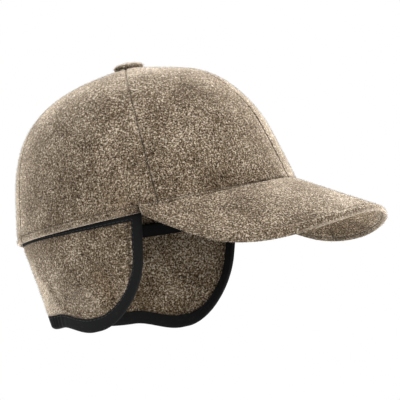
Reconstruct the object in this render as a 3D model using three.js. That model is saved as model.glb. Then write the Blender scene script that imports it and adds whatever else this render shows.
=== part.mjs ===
// Baseball cap with earflaps in its worn form: a five-panel wool crown, an arched peak, a covered button
// and a bound ear flap that hangs from inside the hem, round the back of the head.
// Millimetres. +X is the wearer's front, +Y the wearer's left, +Z up. The origin is the centre of the
// head opening, where a head carries the cap.
import * as THREE from "three";

const { degToRad, lerp, smoothstep } = THREE.MathUtils;

// Driving dimensions of the crown. The rim is an oval, a little wider at the back than at the front.
const CROWN = {
  halfLength: 105, // centre of the head opening to the forehead, outside the cloth
  halfWidth: 87.8, // centre of the head opening to the temple, outside the cloth
  backWiden: 0.03, // share by which the oval widens towards the back
  height: 106.8, // rim plane to the top, along the cap's own axis
  topForward: 5.5, // the top lies this far ahead of the centre
  frontLift: -8.1, // height of the rim at the forehead, and minus that at the nape
  sideDip: 2.3, // the rim hangs this much lower over the ears
  tilt: degToRad(16.6), // the cap sits pushed back on the head by this angle
  wall: 2.0, // wool cloth
  hemWall: 3.6, // cloth turned in at the hem
  hemHeight: 10.5,
  topHole: 4.0, // radius of the hole under the button
  seamGap: 0.3,
  seamDip: 0.8, // how far the cloth rolls in at a seam
  seamRoll: 3.0, // width of that roll
  mostTurn: degToRad(4), // and its widest turn round the cap, near the top
  columns: 12, // across each panel
  upperRows: 9, // above the hem
};

// How far the wall reaches from the axis, as a share of the rim, at stations from the rim to the top.
const REACH = [
  { station: 0, front: 1.0, side: 1.0, back: 1.0 },
  { station: 15, front: 0.938, side: 0.948, back: 0.945 },
  { station: 30, front: 0.865, side: 0.878, back: 0.883 },
  { station: 45, front: 0.727, side: 0.76, back: 0.784 },
  { station: 60, front: 0.524, side: 0.585, back: 0.614 },
  { station: 75, front: 0.196, side: 0.32, back: 0.368 },
  { station: 90, front: 0, side: 0, back: 0 },
];

// Panels between seams, as angles round the cap from the forehead, towards the wearer's left.
const PANELS = [
  { name: "crown_panel_front_left", from: 0, to: 68.2 },
  { name: "crown_panel_side_left", from: 68.2, to: 142 },
  { name: "crown_panel_back", from: 142, to: 218 },
  { name: "crown_panel_side_right", from: 218, to: 291.8 },
  { name: "crown_panel_front_right", from: 291.8, to: 360 },
];

// Rows of the panels at the hem: height over the edge, and how far the outside is pressed in there.
const HEM_ROWS = [
  { height: 0, pressed: 0.9 },
  { height: 1.2, pressed: 0 },
  { height: 10.5, pressed: 0 },
  { height: 12.0, pressed: 0 },
];

const PEAK = {
  slope: degToRad(33.4), // below the rim plane
  archRadius: 104.2,
  archTighten: 0.11, // the arch bends more towards its sides
  archTaper: -0.0008, // change of the arch radius for each millimetre ahead
  rootForward: 100.6, // the middle of the root, ahead of the centre
  rootHeight: -1.8,
  halfWidth: 91.2, // along the arch
  roundness: 2.32, // exponent of the outline, 2 being an ellipse
  centre: -16.5, // the widest place, ahead of the root
  reachAhead: 90.2, // from the widest place to the tip
  reachBehind: 134.4, // from the widest place back, for the corners
  cornerTurn: degToRad(105), // how far the outline runs round to each corner
  cornerAngle: degToRad(76), // where the corners meet the crown
  thickness: 3.6,
  cornerThickness: 1.6,
  cornerSink: 2.5, // the root hangs this much lower at the corners
  cornerStart: 0.75, // share of the way round where the corners begin
  edgeRound: 0.9,
  edgeFlat: 0.4, // share of the thickness that stays upright at the edge
  columns: 34,
  rows: 8,
};

const FLAP = {
  frontAngle: 104.1, // degrees round from the nape to the front edge
  lobeAngle: 83, // degrees round from the nape to the lowest place, at the ear
  straightDrop: 30, // the front edge runs straight down to here, then rounds
  lobePower: 1.06, // exponent of that rounding, 1 being a quarter of an ellipse and more being flatter
  earDrop: 74, // below the hem
  napeRise: 9, // the edge rises this much behind the ear
  napeStart: 56, // and does so between these angles
  napeEnd: 80,
  backRise: 5, // and this much more at the nape
  tuckBack: 8.3, // how far the upper edge goes up inside the hem at the nape
  tuckFront: 5.6, // and at the front
  tuckStart: 40, // it changes from this angle on
  slantSide: degToRad(8), // the cloth leans in to the head by this angle over the ear
  slantBack: degToRad(24), // and by this angle at the nape
  bend: 2, // length over which it starts to lean in
  perDegree: 1.55, // length round the cloth for each degree
  cloth: 1.6, // pressed thin, as the binding grips it
  clothGap: 0.5, // between the cloth and each leg of the binding
  binding: 0.8, // thickness of the elastic band
  bindingRound: 0.7, // of its folded edge
  bindingWidth: 9.5,
  frontNarrow: 0.8, // share of that width on the front edges, where the band is drawn tight
  lobeColumns: 8, // on each rounded front corner
  backColumns: 34,
  rows: 8, // of the hanging cloth
};

// Where the binding's sections lie on its straight front edges, as shares of their length.
const FRONT_SHARES = [0.12, 0.25, 0.5, 0.75];

// Drops of the flap's rows beside the hem, where the cloth turns from the crown's slope to its own.
const HEM_DROPS = [6, 3, 0];

// Soft folds on each half of the flap: a ridge, or a valley where the height is negative, along a line.
// Angles are degrees round from the nape. They die out towards the binding, which holds the edge smooth.
const FOLDS = [
  { fromAngle: 42, fromDrop: 26, toAngle: 62, toDrop: 56, halfWidth: 7, height: 2.2 },
  { fromAngle: 56, fromDrop: 24, toAngle: 72, toDrop: 48, halfWidth: 7, height: -1.6 },
  { fromAngle: 76, fromDrop: 48, toAngle: 84, toDrop: 54, halfWidth: 9, height: 1.6 },
  { fromAngle: 84, fromDrop: 30, toAngle: 92, toDrop: 42, halfWidth: 9, height: -1.2 },
];
const FOLD_FADE = { end: 8, full: 20 };

const BUTTON = {
  radius: 10.6,
  height: 5.0,
  rim: 1.5, // height of its upright side, under the dome
  dome: 0.7, // exponent of the dome's outline, lower being fuller
  lift: 0.5, // over the cloth
  forward: 1.6, // ahead of the seams' crossing
  shankRadius: 2.1,
  shankLength: 3.0,
  seat: 78, // it sits square to the cloth at this station, in degrees
  lean: degToRad(5.2), // but leans ahead by this much
  sides: 24,
  steps: 6,
};

const GAP = 0.3;
const SEARCH_ROUNDS = 24; // enough for each search below to settle
const WOOL = { color: 0x7a6a58, roughness: 0.95, metalness: 0 };
const ELASTIC = { color: 0x1c1c1f, roughness: 0.75, metalness: 0 };

// A smooth curve through one column of a table, with no overshoot between its rows.
function tableCurve(rows, key, value, at) {
  const slopes = [];
  for (let i = 0; i + 1 < rows.length; i++) {
    slopes.push((rows[i + 1][value] - rows[i][value]) / (rows[i + 1][key] - rows[i][key]));
  }
  const tangent = (i) => {
    if (i === 0) return slopes[0];
    if (i === rows.length - 1) return slopes[i - 1];
    const [a, b] = [slopes[i - 1], slopes[i]];
    return a * b > 0 ? (2 * a * b) / (a + b) : 0;
  };
  let i = 0;
  while (i < rows.length - 2 && at > rows[i + 1][key]) i++;
  const span = rows[i + 1][key] - rows[i][key];
  const t = (at - rows[i][key]) / span;
  const rest = 1 - t;
  const fromStart = rest * rest * ((1 + 2 * t) * rows[i][value] + t * span * tangent(i));
  const fromEnd = t * t * ((1 + 2 * rest) * rows[i + 1][value] - rest * span * tangent(i + 1));
  return fromStart + fromEnd;
}

// Height of the rim above the opening's plane, at an angle round the cap in radians.
function rimHeight(angle) {
  const dip = (CROWN.sideDip * (1 - Math.cos(2 * angle))) / 2;
  return CROWN.frontLift * Math.cos(angle) - dip;
}

// The outside of the crown at an angle and a station, both in radians.
function crownSurface(angle, station) {
  const c = Math.cos(angle);
  const degrees = THREE.MathUtils.radToDeg(station);
  const ahead = tableCurve(REACH, "station", c > 0 ? "front" : "back", degrees);
  const reach = c * c * ahead + (1 - c * c) * tableCurve(REACH, "station", "side", degrees);
  const up = Math.sin(station);
  return new THREE.Vector3(
    CROWN.halfLength * c * reach + CROWN.topForward * (1 - reach),
    CROWN.halfWidth * Math.sin(angle) * (1 - CROWN.backWiden * c) * reach,
    CROWN.height * up + rimHeight(angle) * (1 - up),
  );
}

// The outward normal of the crown, and its length along the rim for each radian.
function crownFrame(angle, station) {
  const step = 1e-3;
  const around = crownSurface(angle + step, station).sub(crownSurface(angle - step, station));
  const upward = crownSurface(angle, station + step).sub(crownSurface(angle, station));
  const perRadian = around.length() / (2 * step);
  return { normal: around.clone().cross(upward).normalize(), along: around.normalize(), perRadian };
}

// A point of the crown's wall at a depth inside its outer surface.
function crownPoint(angle, station, depth) {
  return crownSurface(angle, station).addScaledVector(crownFrame(angle, station).normal, -depth);
}

// The station of a height on the crown's outer surface.
function stationAt(angle, height) {
  const rim = rimHeight(angle);
  return Math.asin((height - rim) / (CROWN.height - rim));
}

// The station where the crown ends round the hole under the button.
function topStation(angle) {
  const top = crownSurface(angle, Math.PI / 2);
  let low = degToRad(REACH.at(-2).station);
  let high = Math.PI / 2;
  for (let i = 0; i < SEARCH_ROUNDS; i++) {
    const middle = (low + high) / 2;
    const wide = crownSurface(angle, middle).distanceTo(top) > CROWN.topHole;
    if (wide) low = middle;
    else high = middle;
  }
  return low;
}

// The middle surface of the arched peak as a height over the opening's plane.
function peakMiddle(x, y) {
  let ahead = 0;
  let radius = PEAK.archRadius;
  let drop = 0;
  for (let i = 0; i < SEARCH_ROUNDS; i++) {
    radius = PEAK.archRadius * (1 + PEAK.archTaper * ahead);
    drop = radius - Math.sqrt(radius * radius - y * y);
    ahead = (x - PEAK.rootForward + drop * Math.sin(PEAK.slope)) / Math.cos(PEAK.slope);
  }
  return PEAK.rootHeight - ahead * Math.sin(PEAK.slope) - drop * Math.cos(PEAK.slope);
}

// A face of the peak, at half a thickness above the middle surface, or below it where that is negative.
function peakPoint(x, y, half) {
  const step = 0.05;
  const slopeX = (peakMiddle(x + step, y) - peakMiddle(x - step, y)) / (2 * step);
  const slopeY = (peakMiddle(x, y + step) - peakMiddle(x, y - step)) / (2 * step);
  return new THREE.Vector3(x, y, peakMiddle(x, y) + half * Math.hypot(1, slopeX, slopeY));
}

// The root of the peak at an angle: a gap clear of the crown's wall, sunk from the height of that face.
function peakRoot(angle, half, sink) {
  let point = crownPoint(angle, 0, -GAP);
  for (let i = 0; i < SEARCH_ROUNDS; i++) {
    const z = peakPoint(point.x, point.y, half).z - sink;
    point = crownPoint(angle, stationAt(angle, Math.max(z, rimHeight(angle))), -GAP);
    point.z = z;
  }
  return point;
}

// The outer edge of the peak. The outline is drawn flat, then bent over the arch.
function peakEdge(turn) {
  const power = 2 / PEAK.roundness;
  const across = Math.sin(turn);
  const ahead = Math.cos(turn);
  const side = PEAK.halfWidth * Math.sign(across) * Math.abs(across) ** power;
  const reach = ahead > 0 ? PEAK.reachAhead : PEAK.reachBehind;
  const forward = PEAK.centre + reach * Math.sign(ahead) * Math.abs(ahead) ** power;
  const flat = side / PEAK.archRadius;
  const bend = flat * (1 + PEAK.archTighten * flat * flat);
  const radius = PEAK.archRadius * (1 + PEAK.archTaper * forward);
  const drop = radius * (1 - Math.cos(bend));
  return new THREE.Vector2(
    PEAK.rootForward + forward * Math.cos(PEAK.slope) - drop * Math.sin(PEAK.slope),
    radius * Math.sin(bend),
  );
}

// Closed sections of equal length, swept one to the next. An open sweep gets flat ends.
function sweep(sections, closed) {
  const size = sections[0].length;
  const index = [];
  const quad = (a, b, c, d) => index.push(a, b, c, a, c, d);
  const last = closed ? sections.length : sections.length - 1;
  for (let j = 0; j < last; j++) {
    const next = (j + 1) % sections.length;
    for (let i = 0; i < size; i++) {
      const up = (i + 1) % size;
      quad(j * size + i, next * size + i, next * size + up, j * size + up);
    }
  }
  if (!closed) {
    const end = (sections.length - 1) * size;
    for (let i = 0; i + 1 < size / 2; i++) {
      const [a, b] = [i, i + 1];
      const [c, d] = [size - 2 - i, size - 1 - i];
      quad(a, b, c, d);
      quad(end + d, end + c, end + b, end + a);
    }
  }
  const geometry = new THREE.BufferGeometry();
  geometry.setFromPoints(sections.flat());
  geometry.setIndex(index);
  geometry.computeVertexNormals();
  return geometry;
}

function wool(name, geometry) {
  const mesh = new THREE.Mesh(geometry, new THREE.MeshStandardMaterial(WOOL));
  mesh.name = name;
  return mesh;
}

// Angles of a panel's columns between those at its seams.
function panelAngles(panel) {
  const inner = Array.from({ length: CROWN.columns - 1 }, (_, i) => (i + 1) / CROWN.columns);
  return inner.map((share) => degToRad(lerp(panel.from, panel.to, share)));
}

// One column of a panel: up its outside, then down its inside. A column beside a seam stands off it by
// a length, to the side that the sign gives, and the cloth rolls in at the outermost ones. Towards the
// top, where the panel narrows, that length shrinks with it.
function panelColumn(angle, side, fromSeam) {
  const shifted = (station) => {
    const turn = fromSeam / crownFrame(angle, station).perRadian;
    return angle + side * Math.min(turn, CROWN.mostTurn);
  };
  const dip = side && fromSeam < CROWN.seamRoll ? CROWN.seamDip : 0;
  const outside = [];
  const inside = [];
  for (const { height, pressed } of HEM_ROWS) {
    const station = stationAt(angle, rimHeight(angle) + height);
    const at = shifted(station);
    outside.push(crownPoint(at, station, pressed + dip));
    inside.push(crownPoint(at, station, height > CROWN.hemHeight ? CROWN.wall : CROWN.hemWall));
  }
  const start = stationAt(angle, rimHeight(angle) + HEM_ROWS.at(-1).height);
  const end = topStation(angle);
  for (let i = 1; i <= CROWN.upperRows; i++) {
    const station = lerp(start, end, i / CROWN.upperRows);
    const at = shifted(station);
    outside.push(crownPoint(at, station, dip));
    inside.push(crownPoint(at, station, CROWN.wall));
  }
  return [...outside, ...inside.reverse()];
}

function crownPanel(panel) {
  const from = degToRad(panel.from);
  const to = degToRad(panel.to);
  const edge = CROWN.seamGap / 2;
  const columns = [
    panelColumn(from, 1, edge),
    panelColumn(from, 1, CROWN.seamRoll),
    ...panelAngles(panel).map((angle) => panelColumn(angle, 0, 0)),
    panelColumn(to, -1, CROWN.seamRoll),
    panelColumn(to, -1, edge),
  ];
  return wool(panel.name, sweep(columns, false));
}

function peak() {
  const sections = [];
  for (let j = 0; j <= PEAK.columns; j++) {
    const share = 1 - (2 * j) / PEAK.columns;
    const corner = smoothstep(Math.abs(share), PEAK.cornerStart, 1);
    const half = lerp(PEAK.thickness, PEAK.cornerThickness, corner) / 2;
    const sink = PEAK.cornerSink * corner;
    const edge = peakEdge(PEAK.cornerTurn * share);
    const face = (side) => {
      const root = peakRoot(PEAK.cornerAngle * share, side * half, sink);
      const run = 1 - PEAK.edgeRound / Math.hypot(edge.x - root.x, edge.y - root.y);
      const points = [];
      for (let i = 0; i <= PEAK.rows; i++) {
        const along = (run * i) / PEAK.rows;
        const point = peakPoint(lerp(root.x, edge.x, along), lerp(root.y, edge.y, along), side * half);
        point.z -= sink * (1 - along);
        points.push(point);
      }
      points.push(peakPoint(edge.x, edge.y, side * PEAK.edgeFlat * half));
      return points;
    };
    sections.push([...face(1), ...face(-1).reverse()]);
  }
  return wool("peak", sweep(sections, false));
}

// The cloth-covered button: a low dome on a plain shank that goes down between the panels.
function button() {
  const { radius, height, rim, shankRadius, shankLength } = BUTTON;
  const profile = [
    new THREE.Vector2(0, -shankLength),
    new THREE.Vector2(shankRadius, -shankLength),
    new THREE.Vector2(shankRadius, 0),
    new THREE.Vector2(radius - rim, 0),
  ];
  for (let i = 0; i < BUTTON.steps; i++) {
    const turn = (i / BUTTON.steps) * (Math.PI / 2);
    const out = radius * Math.cos(turn) ** BUTTON.dome;
    profile.push(new THREE.Vector2(out, lerp(rim, height, Math.sin(turn))));
  }
  profile.push(new THREE.Vector2(0, height));
  const geometry = new THREE.LatheGeometry(profile, BUTTON.sides);
  geometry.rotateX(Math.PI / 2);
  const mesh = wool("button", geometry);
  const near = degToRad(BUTTON.seat);
  const length = crownSurface(0, near).sub(crownSurface(Math.PI, near));
  const width = crownSurface(Math.PI / 2, near).sub(crownSurface(-Math.PI / 2, near));
  const up = length.clone().cross(width).normalize().applyAxisAngle(width.normalize(), BUTTON.lean);
  mesh.quaternion.setFromUnitVectors(new THREE.Vector3(0, 0, 1), up);
  mesh.position.copy(crownSurface(0, Math.PI / 2)).addScaledVector(up, BUTTON.lift);
  mesh.position.addScaledVector(length.normalize(), BUTTON.forward);
  return mesh;
}

const capTurn = new THREE.Matrix4().makeRotationY(-CROWN.tilt);

// The drop of the flap's lower edge at an angle from the nape in degrees.
function lowerEdge(angle) {
  const fromNape = Math.abs(angle);
  if (fromNape > FLAP.lobeAngle) {
    const out = Math.min(1, (fromNape - FLAP.lobeAngle) / (FLAP.frontAngle - FLAP.lobeAngle));
    const power = 2 / FLAP.lobePower;
    return lerp(FLAP.straightDrop, FLAP.earDrop, (1 - out ** power) ** (1 / power));
  }
  const rise = FLAP.napeRise * (1 - smoothstep(fromNape, FLAP.napeStart, FLAP.napeEnd));
  const more = FLAP.backRise * (1 - smoothstep(fromNape, 0, FLAP.napeStart));
  return FLAP.earDrop - rise - more;
}

// The height of the folds at an angle from the nape in degrees and a drop below the hem.
function foldHeight(angle, drop) {
  let height = 0;
  for (const fold of FOLDS) {
    const start = new THREE.Vector3(fold.fromAngle * FLAP.perDegree, fold.fromDrop, 0);
    const end = new THREE.Vector3(fold.toAngle * FLAP.perDegree, fold.toDrop, 0);
    const here = new THREE.Vector3(Math.abs(angle) * FLAP.perDegree, drop, 0);
    const nearest = new THREE.Line3(start, end).closestPointToPoint(here, true, new THREE.Vector3());
    height += fold.height * Math.exp(-((here.distanceTo(nearest) / fold.halfWidth) ** 2));
  }
  return height * smoothstep(lowerEdge(angle) - drop, FOLD_FADE.end, FOLD_FADE.full);
}

// A point of the flap. The angle runs from the nape in degrees, the drop is measured down from the hem,
// and the depth inwards from the outside of the binding. Above the hem it lies along the crown's wall.
function flapPoint(angle, drop, depth) {
  const around = Math.PI + degToRad(angle);
  const inside = CROWN.hemWall + GAP + depth;
  const rim = rimHeight(around);
  if (drop <= 0) return crownPoint(around, stationAt(around, rim - drop), inside).applyMatrix4(capTurn);
  const point = crownPoint(around, 0, inside).applyMatrix4(capTurn);
  const inward = crownFrame(around, 0).normal.clone().negate().transformDirection(capTurn);
  inward.setZ(0).normalize();
  const back = 1 - smoothstep(Math.abs(angle), 0, 90);
  const slant = lerp(FLAP.slantSide, FLAP.slantBack, back);
  const run = drop - FLAP.bend * (1 - Math.exp(-drop / FLAP.bend));
  point.addScaledVector(inward, run * Math.sin(slant) - foldHeight(angle, drop));
  point.z -= drop - run * (1 - Math.cos(slant));
  return point;
}

// Degrees round the flap that a length along the rim takes.
function flapDegrees(angle, length) {
  const { perRadian } = crownFrame(Math.PI + degToRad(angle), 0);
  return THREE.MathUtils.radToDeg(length / perRadian);
}

// How far the upper edge goes up inside the hem at an angle from the nape in degrees.
function tuck(angle) {
  const share = smoothstep(Math.abs(angle), FLAP.tuckStart, FLAP.frontAngle);
  return lerp(FLAP.tuckBack, FLAP.tuckFront, share);
}

// The outline of the flap, drawn in by an inset: columns from the left front round the nape to the right
// front, each with its angle from the nape and the drops of its upper and lower ends.
function flapColumns(inset) {
  const narrowed = flapDegrees(FLAP.lobeAngle, inset * FLAP.frontNarrow);
  const wide = FLAP.frontAngle - FLAP.lobeAngle - narrowed;
  const deep = FLAP.earDrop - FLAP.straightDrop - inset;
  const columns = [];
  for (let i = 0; i < FLAP.lobeColumns; i++) {
    const turn = (i / FLAP.lobeColumns) * (Math.PI / 2);
    const angle = -FLAP.lobeAngle - wide * Math.cos(turn) ** FLAP.lobePower;
    const bottom = FLAP.straightDrop + deep * Math.sin(turn) ** FLAP.lobePower;
    columns.push({ angle, top: inset - tuck(angle), bottom });
  }
  const right = columns.map((column) => ({ ...column, angle: -column.angle })).reverse();
  for (let i = 0; i <= FLAP.backColumns; i++) {
    const angle = lerp(-FLAP.lobeAngle, FLAP.lobeAngle, i / FLAP.backColumns);
    columns.push({ angle, top: inset - tuck(angle), bottom: lowerEdge(angle) - inset });
  }
  return [...columns, ...right];
}

function earFlap() {
  const outer = FLAP.binding + FLAP.clothGap;
  const sections = flapColumns(outer).map(({ angle, top, bottom }) => {
    const hanging = Array.from({ length: FLAP.rows }, (_, i) => lerp(bottom, HEM_DROPS[0], i / FLAP.rows));
    const drops = [...hanging, ...HEM_DROPS, top / 2, top];
    const outside = drops.map((drop) => flapPoint(angle, drop, outer));
    const inside = drops.map((drop) => flapPoint(angle, drop, outer + FLAP.cloth));
    return [...outside, ...inside.reverse()];
  });
  return wool("ear_flap", sweep(sections, false));
}

// The closed path of the binding: along the upper edge, down the right front and back round the bottom.
function bindingPath(inset) {
  const columns = flapColumns(inset);
  const front = ({ angle, top, bottom }) =>
    FRONT_SHARES.map((share) => ({ angle, drop: lerp(top, bottom, share) }));
  return [
    ...columns.map(({ angle, top }) => ({ angle, drop: top })),
    ...front(columns.at(-1)),
    ...columns.map(({ angle, bottom }) => ({ angle, drop: bottom })).reverse(),
    ...front(columns[0]).reverse(),
  ];
}

// The binding folds over the flap's edge: a leg outside, a rounded turn and a leg inside.
function flapBinding() {
  const { binding, bindingRound: round, bindingWidth, clothGap, cloth } = FLAP;
  const total = 2 * (binding + clothGap) + cloth;
  const leg = (depth) => [bindingWidth / 2, bindingWidth].map((inset) => ({ inset, depth }));
  const corners = [
    { inset: 0, depth: round },
    { inset: 0, depth: total - round },
    { inset: round, depth: total },
    ...leg(total),
    ...leg(total - binding).reverse(),
    { inset: binding, depth: total - binding },
    { inset: binding, depth: binding },
    ...leg(binding),
    ...leg(0).reverse(),
    { inset: round, depth: 0 },
  ];
  const paths = corners.map(({ inset }) => bindingPath(inset));
  const sections = paths[0].map((_, k) =>
    corners.map(({ depth }, i) => flapPoint(paths[i][k].angle, paths[i][k].drop, depth)),
  );
  const mesh = new THREE.Mesh(sweep(sections, true), new THREE.MeshStandardMaterial(ELASTIC));
  mesh.name = "flap_binding";
  return mesh;
}

const cap = new THREE.Group();
const crown = new THREE.Group();
crown.rotation.y = -CROWN.tilt;
crown.add(...PANELS.map(crownPanel), peak(), button());
cap.add(crown, earFlap(), flapBinding());

export default cap;
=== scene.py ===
"""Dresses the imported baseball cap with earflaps: wool panels, peak, button, ear flap and its dark binding.

The sizes are in metres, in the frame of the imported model: +X is the wearer's front, +Y the wearer's left
and +Z up. The origin is the centre of the head opening.
"""

from __future__ import annotations

import logging
import math
from dataclasses import dataclass
from enum import Enum
from typing import Sequence

import bmesh
import bpy
import numpy as np
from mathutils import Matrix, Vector, noise

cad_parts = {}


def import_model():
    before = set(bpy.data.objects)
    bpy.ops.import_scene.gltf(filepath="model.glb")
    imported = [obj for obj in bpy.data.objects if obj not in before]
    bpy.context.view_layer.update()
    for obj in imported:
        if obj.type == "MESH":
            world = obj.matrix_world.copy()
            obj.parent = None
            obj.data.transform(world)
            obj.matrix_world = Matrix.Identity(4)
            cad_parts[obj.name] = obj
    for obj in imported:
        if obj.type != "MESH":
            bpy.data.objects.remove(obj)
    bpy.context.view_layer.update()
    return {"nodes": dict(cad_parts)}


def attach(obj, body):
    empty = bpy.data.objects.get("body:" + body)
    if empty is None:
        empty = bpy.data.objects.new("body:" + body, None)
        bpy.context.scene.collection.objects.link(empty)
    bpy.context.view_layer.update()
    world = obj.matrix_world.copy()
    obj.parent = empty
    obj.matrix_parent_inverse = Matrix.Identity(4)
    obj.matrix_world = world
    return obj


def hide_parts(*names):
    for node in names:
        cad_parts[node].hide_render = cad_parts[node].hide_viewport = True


log = logging.getLogger("cap")

MM = 0.001
SEED = 7
SEARCH_ROUNDS = 24
THREAD_LIFT = 0.12 * MM

Array = np.ndarray
Place = tuple[float, float, float]
Colour = tuple[float, float, float, float]
Section = tuple[tuple[float, float], ...]
Piece = bpy.types.Object
Material = bpy.types.Material
NodeTree = bpy.types.NodeTree
Node = bpy.types.Node
Socket = bpy.types.NodeSocket


class Slot(Enum):
    """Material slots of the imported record."""

    WOOL = "wool"
    ELASTIC = "elastic"


class Mark(Enum):
    """Vertex attributes that the materials and the node groups read."""

    # Painted shade in seams, folds, under the button and where parts meet.
    CREASE = "crease"
    # Painted highlight on turned edges and ridges.
    RIM = "rim"
    # Painted warm shade on the peak's lower face.
    UNDER = "under"
    SHADE = "shade"
    NAP = "nap"
    OUTWARD = "outward"
    ALONG = "along"
    ACROSS = "across"


def smoothstep(value: Array | float, low: float, high: float) -> Array:
    """Rises smoothly from 0 at low to 1 at high."""
    share = np.clip((np.asarray(value, float) - low) / (high - low), 0, 1)
    return share * share * (3 - 2 * share)


def bell(value: Array, centre: float, width: float) -> Array:
    """A bump of height 1 at centre that dies out over the width on either side."""
    return np.exp(-(((np.asarray(value, float) - centre) / width) ** 2))


def unit(vectors: Array) -> Array:
    """Scales vectors in the last axis to length 1."""
    return vectors / np.maximum(np.linalg.norm(vectors, axis=-1, keepdims=True), 1e-12)


def table_curve(stations: Sequence[float], values: Sequence[float], at: Array) -> Array:
    """Follows one column of a table smoothly, with no overshoot between its rows.

    Args:
        stations: The rising stations of the table's rows.
        values: The value in each row.
        at: Where the curve is wanted.

    Returns:
        The curve's values there.
    """
    x, y = np.asarray(stations, float), np.asarray(values, float)
    slope = np.diff(y) / np.diff(x)
    tangent = np.empty_like(y)
    tangent[0], tangent[-1] = slope[0], slope[-1]
    product = slope[:-1] * slope[1:]
    total = np.where(product > 0, slope[:-1] + slope[1:], 1.0)
    tangent[1:-1] = np.where(product > 0, 2 * product / total, 0.0)
    i = np.clip(np.searchsorted(x, at) - 1, 0, len(x) - 2)
    span = x[i + 1] - x[i]
    t = (at - x[i]) / span
    rest = 1 - t
    start = rest * rest * ((1 + 2 * t) * y[i] + t * span * tangent[i])
    end = t * t * ((1 + 2 * rest) * y[i + 1] - rest * span * tangent[i + 1])
    return start + end


def soft_noise(points: Array, wavelength: float) -> Array:
    """Smooth noise from -1 to 1 at points in space.

    Args:
        points: An array whose last axis holds X, Y and Z.
        wavelength: The size of its bumps.

    Returns:
        One value for each point.
    """
    flat = points.reshape(-1, 3) / wavelength
    values = [noise.noise(Vector(p)) for p in flat]
    return np.array(values).reshape(points.shape[:-1])


def linked(name: str, data: bpy.types.ID) -> Piece:
    """Adds an object with this data to the scene.

    Args:
        name: The object's name.
        data: Its mesh, light or camera.

    Returns:
        The new object, at the origin.
    """
    piece = bpy.data.objects.new(name, data)
    bpy.context.scene.collection.objects.link(piece)
    return piece


def swept_mesh(name: str, sections: Array, loop: bool, marks: dict[Mark, Array]) -> Piece:
    """Joins closed sections, one to the next, into one closed skin.

    Args:
        name: The object's name.
        sections: Points as [section, point in the section, XYZ], each section a closed ring.
        loop: Whether the last section joins the first. Otherwise both ends are closed flat.
        marks: Values for each point, as [section, point], by the attribute that they fill.

    Returns:
        The new object, smooth shaded, with doubled points merged.
    """
    count, size = sections.shape[:2]
    turn = np.arange(size)
    step = (turn + 1) % size
    faces = []
    for j in range(count if loop else count - 1):
        here, there = j * size, ((j + 1) % count) * size
        faces.append(np.stack([here + turn, there + turn, there + step, here + step], 1))
    if not loop:
        half = np.arange(size // 2 - 1)
        cap = np.stack([half, half + 1, size - 2 - half, size - 1 - half], 1)
        faces += [cap, cap[:, ::-1] + (count - 1) * size]
    mesh = bpy.data.meshes.new(name)
    mesh.from_pydata(sections.reshape(-1, 3).tolist(), [], np.concatenate(faces).tolist())
    for mark, values in marks.items():
        attribute = mesh.attributes.new(mark.value, "FLOAT", "POINT")
        attribute.data.foreach_set("value", np.asarray(values, np.float32).ravel())
    merge_doubles(mesh)
    mesh.shade_smooth()
    return linked(name, mesh)


def merge_doubles(mesh: bpy.types.Mesh) -> None:
    """Merges a mesh's doubled points and drops the faces that this leaves without an area.

    Args:
        mesh: The mesh to change.
    """
    work = bmesh.new()
    work.from_mesh(mesh)
    bmesh.ops.remove_doubles(work, verts=work.verts, dist=0.002 * MM)
    bmesh.ops.dissolve_degenerate(work, edges=work.edges, dist=0.001 * MM)
    work.to_mesh(mesh)
    work.free()


def laid(name: str, ground: bpy.types.Mesh, tree: NodeTree, values: dict[str, object]) -> Piece:
    """Runs a node group on a mesh and keeps what it makes as a plain mesh object.

    Args:
        name: The name of the result.
        ground: The mesh that the group works on.
        tree: The node group.
        values: The group's inputs by name.

    Returns:
        The plain mesh object.
    """
    source = linked(name + "_ground", ground)
    modifier = source.modifiers.new(tree.name, "NODES")
    modifier.node_group = tree
    for item in tree.interface.items_tree:
        if item.in_out == "INPUT" and item.name in values:
            modifier[item.identifier] = values[item.name]
    bpy.context.view_layer.update()
    graph = bpy.context.evaluated_depsgraph_get()
    mesh = bpy.data.meshes.new_from_object(source.evaluated_get(graph), depsgraph=graph)
    bpy.data.objects.remove(source)
    mesh.name = name
    mesh.shade_smooth()
    return linked(name, mesh)


@dataclass(frozen=True)
class Relief:
    """How much a finish's height pattern shows as bumps."""

    strength: float
    depth: float


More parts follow.
